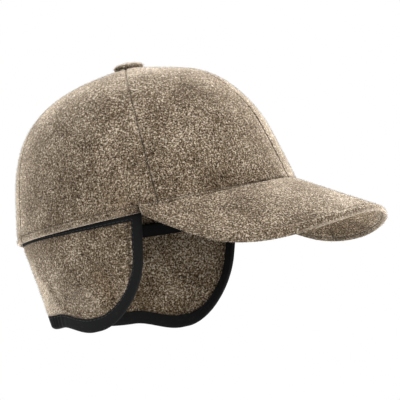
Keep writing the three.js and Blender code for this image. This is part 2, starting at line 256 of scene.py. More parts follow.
class NodeCanvas:
    """Adds nodes to a tree and wires them, one call a node."""

    def __init__(self, tree: NodeTree) -> None:
        """Works on an existing tree."""
        self.tree = tree

    def fill(self, node: Node, inputs: dict) -> None:
        """Sets a node's inputs.

        Args:
            node: The node.
            inputs: For each input, by name or index, a value or an output socket to wire to it.
        """
        for key, value in inputs.items():
            if isinstance(value, Socket):
                self.tree.links.new(value, node.inputs[key])
            else:
                node.inputs[key].default_value = value

    def add(self, kind: str, inputs: dict | None = None, **settings: object) -> Node:
        """Adds one node.

        Args:
            kind: The node's type name.
            inputs: Its inputs, as in fill().
            settings: The node's own properties.

        Returns:
            The new node.
        """
        node = self.tree.nodes.new(kind)
        for key, value in settings.items():
            setattr(node, key, value)
        self.fill(node, inputs or {})
        return node

    def maths(self, operation: str, a: object, b: object = 0.0) -> Socket:
        """Adds a Math node and returns its output."""
        return self.add("ShaderNodeMath", {0: a, 1: b}, operation=operation).outputs[0]

    def weigh(self, a: Socket, b: Socket, share: float) -> Socket:
        """Adds two values, the first weighed by a share and the second by the rest."""
        return self.maths("ADD", self.maths("MULTIPLY", a, share), self.maths("MULTIPLY", b, 1 - share))

    def spread(self, value: Socket, low: float, high: float, to: tuple[float, float] = (0.0, 1.0)) -> Socket:
        """Maps low to high onto a new range, clamped, and returns the output."""
        inputs = {0: value, 1: low, 2: high, 3: to[0], 4: to[1]}
        return self.add("ShaderNodeMapRange", inputs).outputs[0]

    def mix(self, factor: object, a: object, b: object, blend: str = "MIX") -> Socket:
        """Blends the second colour over the first, as far as the factor says."""
        inputs = {0: factor, 6: a, 7: b}
        return self.add("ShaderNodeMix", inputs, data_type="RGBA", blend_type=blend).outputs[2]

    def noise(self, vector: Socket, scale: object, detail: float = 2.0) -> Socket:
        """Adds a Noise texture and returns its value."""
        inputs = {"Vector": vector, "Scale": scale, "Detail": detail}
        return self.add("ShaderNodeTexNoise", inputs).outputs["Fac"]

    def place(self) -> Socket:
        """Places on the piece, for the textures of a material."""
        return self.add("ShaderNodeTexCoord").outputs["Object"]

    def mark(self, mark: Mark) -> Socket:
        """Values of a mark, in a material."""
        return self.add("ShaderNodeAttribute", attribute_name=mark.value).outputs["Fac"]

    def named(self, mark: Mark, kind: str) -> Socket:
        """Values of a mark of this kind, in a Geometry Nodes group."""
        node = self.add("GeometryNodeInputNamedAttribute", {"Name": mark.value}, data_type=kind)
        return node.outputs["Attribute"]

    def bump(self, height: Socket, relief: Relief) -> Socket:
        """Turns a height pattern into the normals of a bumpy surface."""
        inputs = {"Strength": relief.strength, "Distance": relief.depth, "Height": height}
        return self.add("ShaderNodeBump", inputs).outputs[0]


Group = tuple[NodeCanvas, Node, Node]


def new_group(name: str, kind: str, inputs: dict[str, str], outputs: dict[str, str]) -> Group:
    """Makes a node group with named sockets.

    Args:
        name: The group's name.
        kind: Its tree type.
        inputs: Socket type by input name.
        outputs: Socket type by output name.

    Returns:
        A canvas on the group, its input node and its output node.
    """
    tree = bpy.data.node_groups.new(name, kind)
    for label, socket in inputs.items():
        tree.interface.new_socket(label, in_out="INPUT", socket_type=socket)
    for label, socket in outputs.items():
        tree.interface.new_socket(label, in_out="OUTPUT", socket_type=socket)
    return NodeCanvas(tree), tree.nodes.new("NodeGroupInput"), tree.nodes.new("NodeGroupOutput")


def laying_group(name: str, numbers: Sequence[str], whole: Sequence[str] = ()) -> Group:
    """Makes a Geometry Nodes group that takes geometry and some numbers, and gives geometry.

    Args:
        name: The group's name.
        numbers: Names of its number inputs.
        whole: Names of its whole number inputs.

    Returns:
        A canvas on the group, its input node and its output node.
    """
    inputs = {"Geometry": "NodeSocketGeometry"}
    inputs.update(dict.fromkeys(numbers, "NodeSocketFloat"))
    inputs.update(dict.fromkeys(whole, "NodeSocketInt"))
    return new_group(name, "GeometryNodeTree", inputs, {"Geometry": "NodeSocketGeometry"})


def close_group(canvas: NodeCanvas, result: Node, instances: Socket, material: Material) -> NodeTree:
    """Ends a laying group: the instances are made real and get their material.

    Args:
        canvas: The canvas on the group.
        result: The group's output node.
        instances: The laid stitches or fibres.
        material: Their material.

    Returns:
        The finished group.
    """
    real = canvas.add("GeometryNodeRealizeInstances", {"Geometry": instances}).outputs[0]
    last = {"Geometry": real, "Material": material}
    canvas.fill(result, {"Geometry": canvas.add("GeometryNodeSetMaterial", last).outputs[0]})
    return canvas.tree


def blank_material(name: str) -> tuple[Material, NodeCanvas, Node]:
    """Makes a material with only a Principled BSDF.

    Args:
        name: The material's name.

    Returns:
        The material, a canvas on its tree and the shader node.
    """
    material = bpy.data.materials.new(name)
    material.use_nodes = True
    return material, NodeCanvas(material.node_tree), material.node_tree.nodes["Principled BSDF"]


class FleckedWool:
    """Shader node group of brushed wool: light and dark fibres mixed, with soft patches."""

    NAME = "flecked_wool"
    GRAIN_SHARE = 0.55
    PATCH_TONE = 0.033
    TONES = (("Brown", 0.425, 0.498), ("Middle", 0.50, 0.565), ("Light", 0.565, 0.66))
    RELIEF_TONES = (0.38, 0.70)
    HUE_SCALE = 0.62
    WARM: Colour = (1.02, 1.0, 0.97, 1)
    COOL: Colour = (0.985, 1.0, 1.02, 1)
    LAYS = (
        ((0.0, 0.3, 0.2), (1.3, 1.3, 0.35)),
        ((0.5, 0.0, 0.9), (0.35, 1.3, 1.3)),
        ((0.9, 0.6, 0.3), (1.3, 0.4, 1.3)),
    )

    @classmethod
    def tree(cls) -> NodeTree:
        """Builds the group, or returns the one that is there.

        Returns:
            The group, which gives a colour and a height.
        """
        if cls.NAME in bpy.data.node_groups:
            return bpy.data.node_groups[cls.NAME]
        inputs = {"Vector": "NodeSocketVector"}
        inputs.update(dict.fromkeys(("Fleck Scale", "Patch Scale"), "NodeSocketFloat"))
        inputs.update(dict.fromkeys(("Dark", "Brown", "Middle", "Light"), "NodeSocketColor"))
        outputs = {"Color": "NodeSocketColor", "Height": "NodeSocketFloat"}
        canvas, given, result = new_group(cls.NAME, "ShaderNodeTree", inputs, outputs)
        vector, scale = given.outputs["Vector"], given.outputs["Fleck Scale"]
        grain = canvas.noise(vector, scale, 3.0)
        strands = [cls.strand(canvas, vector, scale, turn, stretch) for turn, stretch in cls.LAYS]
        fibre = canvas.maths("MAXIMUM", canvas.maths("MAXIMUM", strands[0], strands[1]), strands[2])
        patch = canvas.noise(vector, given.outputs["Patch Scale"], 3.0)
        patch = canvas.spread(patch, 0.3, 0.7, (-cls.PATCH_TONE, cls.PATCH_TONE))
        tone = canvas.maths("ADD", canvas.weigh(grain, fibre, cls.GRAIN_SHARE), patch)
        colour = given.outputs["Dark"]
        for label, low, high in cls.TONES:
            colour = canvas.mix(canvas.spread(tone, low, high), colour, given.outputs[label])
        hue = canvas.noise(vector, canvas.maths("MULTIPLY", scale, cls.HUE_SCALE), 1.0)
        tint = canvas.mix(canvas.spread(hue, 0.35, 0.65), cls.WARM, cls.COOL)
        colour = canvas.mix(1.0, colour, tint, "MULTIPLY")
        canvas.fill(result, {"Color": colour, "Height": canvas.spread(tone, *cls.RELIEF_TONES)})
        return canvas.tree

    @staticmethod
    def strand(canvas: NodeCanvas, vector: Socket, scale: Socket, turn: Place, stretch: Place) -> Socket:
        """Noise drawn out along one direction, as fibres lie.

        Args:
            canvas: The canvas to work on.
            vector: Places on the piece.
            scale: The scale of the flecks.
            turn: Turn of the direction about the axes, in radians.
            stretch: Scale along each axis.

        Returns:
            The noise's value.
        """
        inputs = {"Vector": vector, "Rotation": turn, "Scale": stretch}
        return canvas.noise(canvas.add("ShaderNodeMapping", inputs).outputs[0], scale, 2.0)


@dataclass(frozen=True)
class WoolFinish:
    """Heathered grey-brown wool cloth, matt, with a painted pale sheen where it turns away from the view."""

    dark: Colour = (0.014, 0.0065, 0.0020, 1)
    brown: Colour = (0.082, 0.053, 0.028, 1)
    middle: Colour = (0.192, 0.146, 0.096, 1)
    light: Colour = (0.61, 0.53, 0.43, 1)
    # Colour of the painted shade in seams, folds and joins.
    crease: Colour = (0.030, 0.020, 0.012, 1)
    # Colour of the painted highlight on turned edges and ridges.
    rim: Colour = (0.36, 0.30, 0.235, 1)
    # Painted sheen: a pale colour that is added and a gain that brightens the cloth where it turns away from
    # the view.
    nap: Colour = (0.062, 0.056, 0.046, 1)
    painted_sheen_gain: Colour = (3.1, 3.2, 3.4, 1)
    # Painted warm shade under the peak, and the colour of the painted shade marks.
    under: Colour = (0.98, 0.85, 0.67, 1)
    shade: Colour = (0.46, 0.385, 0.29, 1)
    painted_sheen_power: float = 3.1
    sheen_tint: Colour = (0.95, 0.88, 0.78, 1)
    fleck_scale: float = 900.0
    patch_scale: float = 45.0
    roughness: float = 0.95
    diffuse_roughness: float = 0.8
    gloss: float = 0.15
    sheen: float = 0.3
    sheen_roughness: float = 0.42
    relief: Relief = Relief(0.7, 0.35 * MM)

    def material(self, name: str) -> Material:
        """Makes the material, which paints highlights on rims, shade in folds and seams, warm shade under the
        peak, the shade marks and a pale sheen where the cloth turns away.

        Args:
            name: Its name.

        Returns:
            The material.
        """
        material, canvas, shader = blank_material(name)
        inputs = {"Vector": canvas.place(), "Fleck Scale": self.fleck_scale, "Patch Scale": self.patch_scale}
        inputs.update({"Dark": self.dark, "Brown": self.brown, "Middle": self.middle, "Light": self.light})
        cloth = canvas.add("ShaderNodeGroup", inputs, node_tree=FleckedWool.tree())
        height = cloth.outputs["Height"]
        fibre = canvas.spread(height, 0.2, 0.8, (0.5, 1.0))
        # Painted sheen: the colour turns paler where the surface faces away from the view.
        facing = canvas.add("ShaderNodeLayerWeight", {"Blend": 0.5}).outputs["Facing"]
        turned = canvas.maths("POWER", facing, self.painted_sheen_power)
        # Painted highlight on the marked edges and ridges.
        rim = canvas.maths("MULTIPLY", canvas.mark(Mark.RIM), fibre)
        colour = canvas.mix(rim, cloth.outputs["Color"], self.rim)
        nap = canvas.mix(1.0, colour, self.nap, "ADD")
        colour = canvas.mix(turned, colour, canvas.mix(1.0, nap, self.painted_sheen_gain, "MULTIPLY"))
        # Painted shade in seams and folds, painted warm shade under the peak, and the painted shade marks.
        colour = canvas.mix(canvas.mark(Mark.CREASE), colour, self.crease)
        colour = canvas.mix(canvas.mark(Mark.UNDER), colour, self.under, "MULTIPLY")
        colour = canvas.mix(canvas.mark(Mark.SHADE), colour, self.shade, "MULTIPLY")
        inputs = {
            "Base Color": colour,
            "Normal": canvas.bump(height, self.relief),
            "Roughness": self.roughness,
            "Diffuse Roughness": self.diffuse_roughness,
            "Specular IOR Level": self.gloss,
            "Sheen Weight": self.sheen,
            "Sheen Roughness": self.sheen_roughness,
            "Sheen Tint": self.sheen_tint,
        }
        canvas.fill(shader, inputs)
        return material


@dataclass(frozen=True)
class ElasticFinish:
    """Near-black knitted elastic with fine ribs along the band."""

    base: Colour = (0.0040, 0.0042, 0.0046, 1)
    raised: Colour = (0.0085, 0.0088, 0.0094, 1)
    lint: Colour = (0.04, 0.038, 0.035, 1)
    lint_share: float = 0.2
    rib: float = 0.7 * MM
    loop: float = 1.3 * 0.7 * MM
    rib_share: float = 0.65
    roughness: float = 0.7
    gloss: float = 0.07
    sheen: float = 0.01
    sheen_roughness: float = 0.4
    relief: Relief = Relief(0.6, 0.12 * MM)

    def material(self, name: str) -> Material:
        """Makes the material, which reads the lengths along and across the band.

        Args:
            name: Its name.

        Returns:
            The material.
        """
        material, canvas, shader = blank_material(name)
        ribs = self.wave(canvas, canvas.mark(Mark.ACROSS), self.rib)
        loops = self.wave(canvas, canvas.mark(Mark.ALONG), self.loop)
        knit = canvas.weigh(ribs, loops, self.rib_share)
        lint = canvas.spread(canvas.noise(canvas.place(), 420.0, 4.0), 0.62, 0.75)
        colour = canvas.mix(knit, self.base, self.raised)
        colour = canvas.mix(canvas.maths("MULTIPLY", lint, self.lint_share), colour, self.lint)
        inputs = {
            "Base Color": colour,
            "Normal": canvas.bump(knit, self.relief),
            "Roughness": self.roughness,
            "Specular IOR Level": self.gloss,
            "Sheen Weight": self.sheen,
            "Sheen Roughness": self.sheen_roughness,
        }
        canvas.fill(shader, inputs)
        return material

    @staticmethod
    def wave(canvas: NodeCanvas, value: Socket, period: float) -> Socket:
        """A wave from 0 to 1 with the given period."""
        turned = canvas.maths("SINE", canvas.maths("MULTIPLY", value, 2 * math.pi / period))
        return canvas.spread(turned, -1.0, 1.0)


@dataclass(frozen=True)
class SpeckledFinish:
    """A matt finish of two colours that change over in soft specks."""

    first: Colour
    second: Colour
    speck_scale: float
    detail: float
    change: tuple[float, float]
    roughness: float
    gloss: float = 0.5
    relief: Relief | None = None

    def material(self, name: str) -> Material:
        """Makes the material.

        Args:
            name: Its name.

        Returns:
            The material.
        """
        material, canvas, shader = blank_material(name)
        specks = canvas.noise(canvas.place(), self.speck_scale, self.detail)
        colour = canvas.mix(canvas.spread(specks, *self.change), self.first, self.second)
        inputs = {"Base Color": colour, "Roughness": self.roughness, "Specular IOR Level": self.gloss}
        if self.relief:
            inputs["Normal"] = canvas.bump(specks, self.relief)
        canvas.fill(shader, inputs)
        return material


def thread(plain: Colour, worn: Colour) -> SpeckledFinish:
    """Plain sewing thread, with the twist of its plies."""
    return SpeckledFinish(plain, worn, 2600.0, 2.0, (0.35, 0.65), 0.7, relief=Relief(0.5, 0.1 * MM))


WOOL = WoolFinish()
ELASTIC = ElasticFinish()
BROWN_THREAD = thread((0.050, 0.034, 0.021, 1), (0.11, 0.082, 0.055, 1))
BLACK_THREAD = thread((0.008, 0.008, 0.009, 1), (0.02, 0.02, 0.022, 1))
NAP = SpeckledFinish((0.12, 0.082, 0.050, 1), (0.70, 0.62, 0.51, 1), 700.0, 1.0, (0.44, 0.56), 0.95, 0.1)
FLOOR = SpeckledFinish((0.8428, 0.8428, 0.833, 1), (0.86, 0.86, 0.85, 1), 2.0, 2.0, (0.3, 0.7), 0.9)


@dataclass(frozen=True)
class CrownShape:
    """The form of the crown, an oval dome that is tipped back as the cap is worn."""

    half_length: float = 105.0 * MM
    half_width: float = 87.8 * MM
    back_widen: float = 0.03
    height: float = 106.8 * MM
    top_forward: float = 5.5 * MM
    front_lift: float = -8.1 * MM
    side_dip: float = 2.3 * MM
    tilt: float = math.radians(16.6)
    hole: float = 4.0 * MM
    stations: tuple[float, ...] = (0, 15, 30, 45, 60, 75, 90)
    reach_front: tuple[float, ...] = (1, 0.938, 0.865, 0.727, 0.524, 0.196, 0)
    reach_side: tuple[float, ...] = (1, 0.948, 0.878, 0.76, 0.585, 0.32, 0)
    reach_back: tuple[float, ...] = (1, 0.945, 0.883, 0.784, 0.614, 0.368, 0)

    def rim(self, angle: Array) -> Array:
        """Height of the rim above the opening's plane, at angles round the cap in radians."""
        dip = self.side_dip * (1 - np.cos(2 * angle)) / 2
        return self.front_lift * np.cos(angle) - dip

    def surface(self, angle: Array, station: Array) -> Array:
        """Points of the outside.

        Args:
            angle: Angles round the cap from the forehead to the left, in radians.
            station: Stations from 0 at the rim to a quarter turn at the top, in radians.

        Returns:
            Points in the cap's own frame, before it is tipped back.
        """
        angle, station = np.broadcast_arrays(angle, station)
        c, degrees = np.cos(angle), np.degrees(station)
        front = table_curve(self.stations, self.reach_front, degrees)
        back = table_curve(self.stations, self.reach_back, degrees)
        side = table_curve(self.stations, self.reach_side, degrees)
        reach = c * c * np.where(c > 0, front, back) + (1 - c * c) * side
        up = np.sin(station)
        x = self.half_length * c * reach + self.top_forward * (1 - reach)
        y = self.half_width * np.sin(angle) * (1 - self.back_widen * c) * reach
        return np.stack([x, y, self.height * up + self.rim(angle) * (1 - up)], -1)

    def frame(self, angle: Array, station: Array) -> tuple[Array, Array]:
        """Measures how the outside runs.

        Args:
            angle: Angles round the cap from the forehead, in radians.
            station: Stations from the rim to the top, in radians.

        Returns:
            Outward normals, and the length round the cap for each radian.
        """
        step = 1e-3
        around = self.surface(angle + step, station) - self.surface(angle - step, station)
        upward = self.surface(angle, station + step) - self.surface(angle, station)
        return unit(np.cross(around, upward)), np.linalg.norm(around, axis=-1) / (2 * step)

    def point(self, angle: Array, station: Array, depth: Array | float) -> Array:
        """Points at a depth inside the outer surface."""
        normal, _ = self.frame(angle, station)
        return self.surface(angle, station) - normal * np.asarray(depth)[..., None]

    def station_at(self, angle: Array, above: Array | float) -> Array:
        """The station that lies a height above the rim."""
        return np.arcsin(np.clip(above / (self.height - self.rim(angle)), -1, 1))

    def top_station(self, angle: Array) -> Array:
        """The station where the crown ends round the small hole under the button.

        Args:
            angle: Angles round the cap from the forehead, in radians.

        Returns:
            One station for each angle, in radians.
        """
        top = self.surface(np.zeros(1), np.full(1, math.pi / 2))
        low = np.full(np.shape(angle), math.radians(self.stations[-2]))
        high = np.full(np.shape(angle), math.pi / 2)
        for _ in range(SEARCH_ROUNDS):
            middle = (low + high) / 2
            wide = np.linalg.norm(self.surface(angle, middle) - top, axis=-1) > self.hole
            low, high = np.where(wide, middle, low), np.where(wide, high, middle)
        return low

    def tipped(self, points: Array) -> Array:
        """Tips the cap's own frame back to the worn one.

        Args:
            points: Points or directions in the cap's own frame.

        Returns:
            The same points or directions in the worn frame.
        """
        c, s = math.cos(self.tilt), math.sin(self.tilt)
        x, y, z = points[..., 0], points[..., 1], points[..., 2]
        return np.stack([x * c - z * s, y, x * s + z * c], -1)


@dataclass(frozen=True)
class Cut:
    """The flat piece that a cloth was cut to, with its seam and hem allowances."""

    width: float
    length: float
    share: float

    @property
    def flat(self) -> tuple[float, float]:
        """Width and length."""
        return self.width, self.length

    @property
    def area(self) -> float:
        """Flat area."""
        return self.share * self.width * self.length


FRONT_CUT = Cut(124 * MM, 178 * MM, 0.69)
SIDE_CUT = Cut(144 * MM, 172 * MM, 0.70)
BACK_CUT = Cut(134 * MM, 181 * MM, 0.68)


@dataclass(frozen=True)
class Panel:
    """One cloth panel of the crown, between two angles from the forehead in degrees."""

    node: str
    start: float
    end: float
    cut: Cut


PANELS = (
    Panel("crown_panel_front_left", 0, 68.2, FRONT_CUT),
    Panel("crown_panel_side_left", 68.2, 142, SIDE_CUT),
    Panel("crown_panel_back", 142, 218, BACK_CUT),
    Panel("crown_panel_side_right", 218, 291.8, SIDE_CUT),
    Panel("crown_panel_front_right", 291.8, 360, FRONT_CUT),
)


@dataclass(frozen=True)
class Dent:
    """A soft hollow of the crown's cloth, at an angle from the forehead in degrees."""

    angle: float
    above: float
    half_width: float
    half_height: float
    depth: float
    shade: float


DENTS = (
    Dent(277, 12, 9, 22, 0.6, 0.65),
    Dent(285, 68, 8, 14, 0.4, 0.30),
    Dent(318, 8, 30, 9, 0.4, 0.35),
    Dent(350, 66, 15, 40, 0.4, 0.28),
    Dent(237, 32, 12, 30, 0.4, 0.42),
    Dent(83, 12, 9, 22, 0.6, 0.65),
    Dent(42, 8, 30, 9, 0.4, 0.35),
)


@dataclass
class Button:
    """The cloth-covered button on the top, a low dome gathered in under its rim."""

    shape: CrownShape
    radius: float = 10.6 * MM
    height: float = 4.5 * MM
    rim: float = 1.5 * MM
    dome: float = 0.7
    lift: float = 0.5 * MM
    forward: float = 1.6 * MM
    seat: float = math.radians(78)
    lean: float = math.radians(5.2)
    gathers: int = 22
    gather_depth: float = 0.16 * MM
    underside: Section = ((0, -1.2), (4, -1.2), (7.2, -1.0), (8.6, -0.4), (9.7, 0.2), (10.35, 0.8))
    sides: int = 132
    steps: int = 26

    def outline(self) -> Array:
        """The dome's outline, from the middle of its underside round to the top.

        Returns:
            Distances out from the axis and heights, one pair for each point.
        """
        turn = np.linspace(0, math.pi / 2, self.steps + 1)
        out = self.radius * np.cos(turn) ** self.dome
        out[-1] = 0
        up = self.rim + (self.height - self.rim) * np.sin(turn)
        return np.concatenate([np.array(self.underside) * MM, np.stack([out, up], 1)])

    def frame(self) -> tuple[Array, Array, Array, Array]:
        """Finds where the button sits.

        Returns:
            The middle of its seat, and its directions ahead, across and up.
        """
        near = np.full(4, self.seat)
        front, left, back, right = self.shape.surface(np.radians([0, 90, 180, 270]), near)
        ahead, across = unit(front - back), unit(left - right)
        level = unit(np.cross(ahead, across))
        up = level * math.cos(self.lean) + ahead * math.sin(self.lean)
        top = self.shape.surface(np.zeros(1), np.full(1, math.pi / 2))[0]
        seat = top + up * self.lift + ahead * self.forward
        ahead = ahead * math.cos(self.lean) - level * math.sin(self.lean)
        return seat, ahead, np.cross(up, ahead), up

    def shadow(self, points: Array) -> Array:
        """How far points of the crown lie under the button or in the fold round it.

        Args:
            points: Points in the cap's own frame.

        Returns:
            One share for each point, from 0 to 1.
        """
        seat, _, _, up = self.frame()
        away = np.linalg.norm(np.cross(points - seat, up), axis=-1)
        return 1 - smoothstep(away, self.radius - 0.2 * MM, self.radius + 2.2 * MM)

    def build(self) -> Piece:
        """Builds the button as one closed skin.

        Returns:
            The new object.
        """
        seat, ahead, across, up = self.frame()
        outline = self.outline()
        height = outline[:, 1]
        turn = np.linspace(0, 2 * math.pi, self.sides, endpoint=False)[:, None]
        wave = self.gather_depth * np.sin(self.gathers * turn + 0.7 * np.sin(3 * turn))
        out = outline[:, 0] + wave * bell(height, 0.6 * MM, 1.1 * MM) * (outline[:, 0] > 7 * MM)
        grid = seat + (out * np.cos(turn))[..., None] * ahead + (out * np.sin(turn))[..., None] * across
        grid = grid + height[None, :, None] * up
        rows = {
            # Painted shade under the button's rim and a painted highlight along its edge.
            Mark.CREASE: 0.8 * (1 - smoothstep(height, -0.4 * MM, 1.3 * MM)),
            Mark.RIM: 0.25 * bell(height, 2.4 * MM, 1.2 * MM),
            Mark.NAP: smoothstep(height, 0.2 * MM, 0.8 * MM),
        }
        marks = {mark: np.broadcast_to(row, out.shape) for mark, row in rows.items()}
        return swept_mesh("button_cloth", self.shape.tipped(grid), loop=True, marks=marks)


@dataclass
class Crown:
    """Five wool panels with rolled seams and a stitched hem."""

    shape: CrownShape
    peak: Peak
    button: Button
    wall: float = 2.0 * MM
    hem_wall: float = 3.6 * MM
    hem_height: float = 10.5 * MM
    stitch_height: float = 4.7 * MM
    stitch_press: float = 0.6 * MM
    hem_puff: float = 0.3 * MM
    seam_dip: float = 0.9 * MM
    seam_roll: float = 0.55 * MM
    peak_angle: float = math.radians(76)
    pucker: float = 0.12 * MM
    pucker_length: float = 5.0 * MM
    sway: float = 0.45 * MM
    sway_length: float = 34.0 * MM
    # Width and strengths of the painted shade in the seams, under the button, along the stitches, in the
    # hem's fold and at the peak's root, and of the painted highlight on the hem's fold.
    seam_line: float = 0.48 * MM
    seam_shade: float = 0.45
    low_seam_shade: float = 0.75
    low_seam: tuple[float, float] = (25 * MM, 95 * MM)
    front_seam_loss: float = 0.65
    front_seam_reach: float = 25
    front_seam_fade: tuple[float, float] = (40 * MM, 70 * MM)
    button_shade: float = 0.7
    stitch_shade: float = 0.62
    fold_shade: float = 0.9
    root_shade: float = 0.6
    rim_highlight: float = 0.4
    seam_columns: tuple[float, ...] = (-0.02, 0.12, 0.3, 0.55, 0.9, 1.4, 2.1, 3.0)
    columns: int = 70
    rows: int = 70
    hem_rows: tuple[float, ...] = (1.8, 2.4, 3.0, 3.6, 4.1, 4.5, 4.9, 5.3, 5.8, 6.5, 7.5, 9.0, 10.5)
    inner_rows: Section = ((1.8, 3.6), (4.0, 3.6), (7.0, 3.6), (10.5, 3.4), (11.5, 2.0))

    def panel_angles(self, panel: Panel, start: Array, end: Array) -> tuple[Array, Array]:
        """Angles of a panel's columns, closer beside its seams.

        Args:
            panel: The panel.
            start: Stations of the rows at its first seam.
            end: Stations of the rows at its last seam.

        Returns:
            Angles and distances from the nearer seam, both as [row, column].
        """
        first, last = math.radians(panel.start), math.radians(panel.end)
        _, per_first = self.shape.frame(np.full_like(start, first), start)
        _, per_last = self.shape.frame(np.full_like(end, last), end)
        offsets = np.array(self.seam_columns) * MM
        width = (last - first) * (per_first + per_last) / 2
        squeeze = np.minimum(1, 0.42 * width / offsets[-1])[:, None]
        left = first + offsets * squeeze / per_first[:, None]
        right = (last - offsets * squeeze / per_last[:, None])[:, ::-1]
        share = np.linspace(0, 1, self.columns + 1)[1:-1]
        inner = left[:, -1:] + (right[:, :1] - left[:, -1:]) * share
        beside = np.broadcast_to(offsets * squeeze, left.shape)
        far = np.full(inner.shape, offsets[-1] * 4)
        angles = np.concatenate([left, inner, right], 1)
        return angles, np.concatenate([beside, far, beside[:, ::-1]], 1)

    def heights(self) -> tuple[Array, Array]:
        """The hem's rows, from the inside of the fold to the cloth above it.

        Returns:
            Their heights over the rim, and their depths.
        """
        radius = self.hem_wall / 2
        turn = np.linspace(math.pi / 2, 0, 7)
        fold_height = radius * (1 - np.sin(turn))
        fold_depth = radius * (1 - np.cos(turn))
        above = np.array(self.hem_rows[1:]) * MM
        puff = self.hem_puff * bell(above, 2.9 * MM, 1.1 * MM)
        puff = puff + 0.5 * self.hem_puff * bell(above, 7 * MM, 1.4 * MM)
        groove = self.stitch_press * bell(above, self.stitch_height, 0.8 * MM)
        return np.concatenate([fold_height, above]), np.concatenate([fold_depth, groove - puff])

    def side(self, panel: Panel, above: Array, depth: Array, inside: bool) -> tuple[Array, dict[Mark, Array]]:
        """One side of a panel's wall, from the hem to the top.

        Args:
            panel: The panel.
            above: Heights of the hem's rows over the rim.
            depth: Depths of the hem's rows.
            inside: Whether this is the side towards the head.

        Returns:
            Points as [row, column, XYZ] in the worn frame, and their marks.
        """
        ends = np.radians([[panel.start], [panel.end]])
        share = np.linspace(0, 1, self.rows + 1)[1:]
        rows = []
        for end in ends:
            low = self.shape.station_at(end, above)
            rows.append(np.concatenate([low, low[-1] + (self.shape.top_station(end) - low[-1]) * share]))
        angle, beside = self.panel_angles(panel, rows[0], rows[1])
        hem = self.shape.station_at(angle[: len(above)], above[:, None])
        top = self.shape.top_station(angle[len(above) :])
        upper = hem[-1:] + (top - hem[-1:]) * share[:, None]
        station = np.concatenate([hem, upper])
        outer = self.shape.surface(angle, station)
        sway, shade = self.lie(angle, outer)
        level = np.concatenate([depth, np.full(self.rows, self.wall if inside else 0.0)])[:, None]
        seam = np.zeros_like(angle)
        if not inside:
            climb = outer[..., 2]
            ripple = self.pucker * np.sin(2 * math.pi * climb / self.pucker_length)
            seam = self.seam_dip * bell(beside, 0, self.seam_roll) + ripple * bell(beside, 1.6 * MM, 1.2 * MM)
            seam = seam * self.flat_front(angle, climb)
        points = self.shape.point(angle, station, level + seam - sway)
        height = np.concatenate([above, np.full(self.rows, 0.1)])[:, None]
        crease = self.creases(angle, beside, outer, height)
        # Painted highlight along the hem's fold, except above the peak.
        rim = self.rim_highlight * bell(height, 0.8 * MM, 1.2 * MM) * (1 - self.front(angle))
        keep = 0.0 if inside else 1.0
        grown = keep * smoothstep(height, 0.2 * MM, 1 * MM) * (crease < 0.25)
        marks = {
            Mark.CREASE: keep * np.minimum(crease, 1),
            Mark.RIM: keep * rim,
            Mark.SHADE: keep * shade,
            Mark.NAP: grown,
        }
        return self.shape.tipped(points), marks

    def creases(self, angle: Array, beside: Array, outer: Array, height: Array) -> Array:
        """Painted shade in the seams, under the button, along the stitches, in the hem's fold at the front
        and at the peak's root.

        Args:
            angle: Angles round the cap, in radians.
            beside: Distances from the nearer seam.
            outer: Points of the outer surface in the cap's own frame.
            height: Heights of the rows over the rim.

        Returns:
            One value for each point. It may pass 1.
        """
        climb = outer[..., 2]
        low = 1 - smoothstep(climb, *self.low_seam)
        # The seams' painted shade is broken up along them by noise.
        worn = 0.65 + 0.35 * smoothstep(soft_noise(outer, 4 * MM), -0.5, 0.3)
        seam = (self.seam_shade + self.low_seam_shade * low) * worn * bell(beside, 0, self.seam_line)
        crease = seam * self.flat_front(angle, climb)
        crease = crease + self.button_shade * self.button.shadow(outer)
        front = self.front(angle)
        patchy = 0.55 + 0.45 * smoothstep(soft_noise(outer, 9 * MM), -0.4, 0.4)
        crease = crease + self.stitch_shade * patchy * bell(height, self.stitch_height, 0.6 * MM)
        crease = crease + self.fold_shade * front * (1 - smoothstep(height, 0.8 * MM, 2.2 * MM))
        over = climb - self.peak.top_at(outer[..., 0], outer[..., 1], angle)
        return crease + self.root_shade * patchy * front * bell(over, 0.1 * MM, 0.65 * MM)

    def front(self, angle: Array) -> Array:
        """Where the peak is sewn on: 1 there, and 0 round the rest of the crown."""
        return smoothstep(np.cos(angle), math.cos(self.peak_angle + 0.12), math.cos(self.peak_angle - 0.03))

    def flat_front(self, angle: Array, climb: Array) -> Array:
        """How deep a seam is worked, which is less for the front seam's upper part."""
        turn = (np.degrees(angle) + 180) % 360 - 180
        near = bell(turn, 0, self.front_seam_reach)
        return 1 - self.front_seam_loss * near * smoothstep(climb, *self.front_seam_fade)

    def lie(self, angle: Array, outer: Array) -> tuple[Array, Array]:
        """How far the soft cloth stands out of its plain form, and the shade of its hollows."""
        hollow, shade = self.dents(angle, outer[..., 2] - self.shape.rim(angle))
        return self.sway * soft_noise(outer, self.sway_length) - hollow, shade

    def dents(self, angle: Array, above: Array) -> tuple[Array, Array]:
        """Depth and shade of the soft hollows.

        Args:
            angle: Angles round the cap, in radians.
            above: Heights over the rim.

        Returns:
            How deep the cloth lies, and how much darker it looks, from 0 to 1.
        """
        depth, shade = np.zeros_like(above), np.zeros_like(above)
        for dent in DENTS:
            turn = np.degrees(angle) % 360 - dent.angle
            form = bell(turn, 0, dent.half_width) * bell(above, dent.above * MM, dent.half_height * MM)
            depth = depth + dent.depth * MM * form
            shade = shade + dent.shade * form
        return depth, np.minimum(shade, 1)

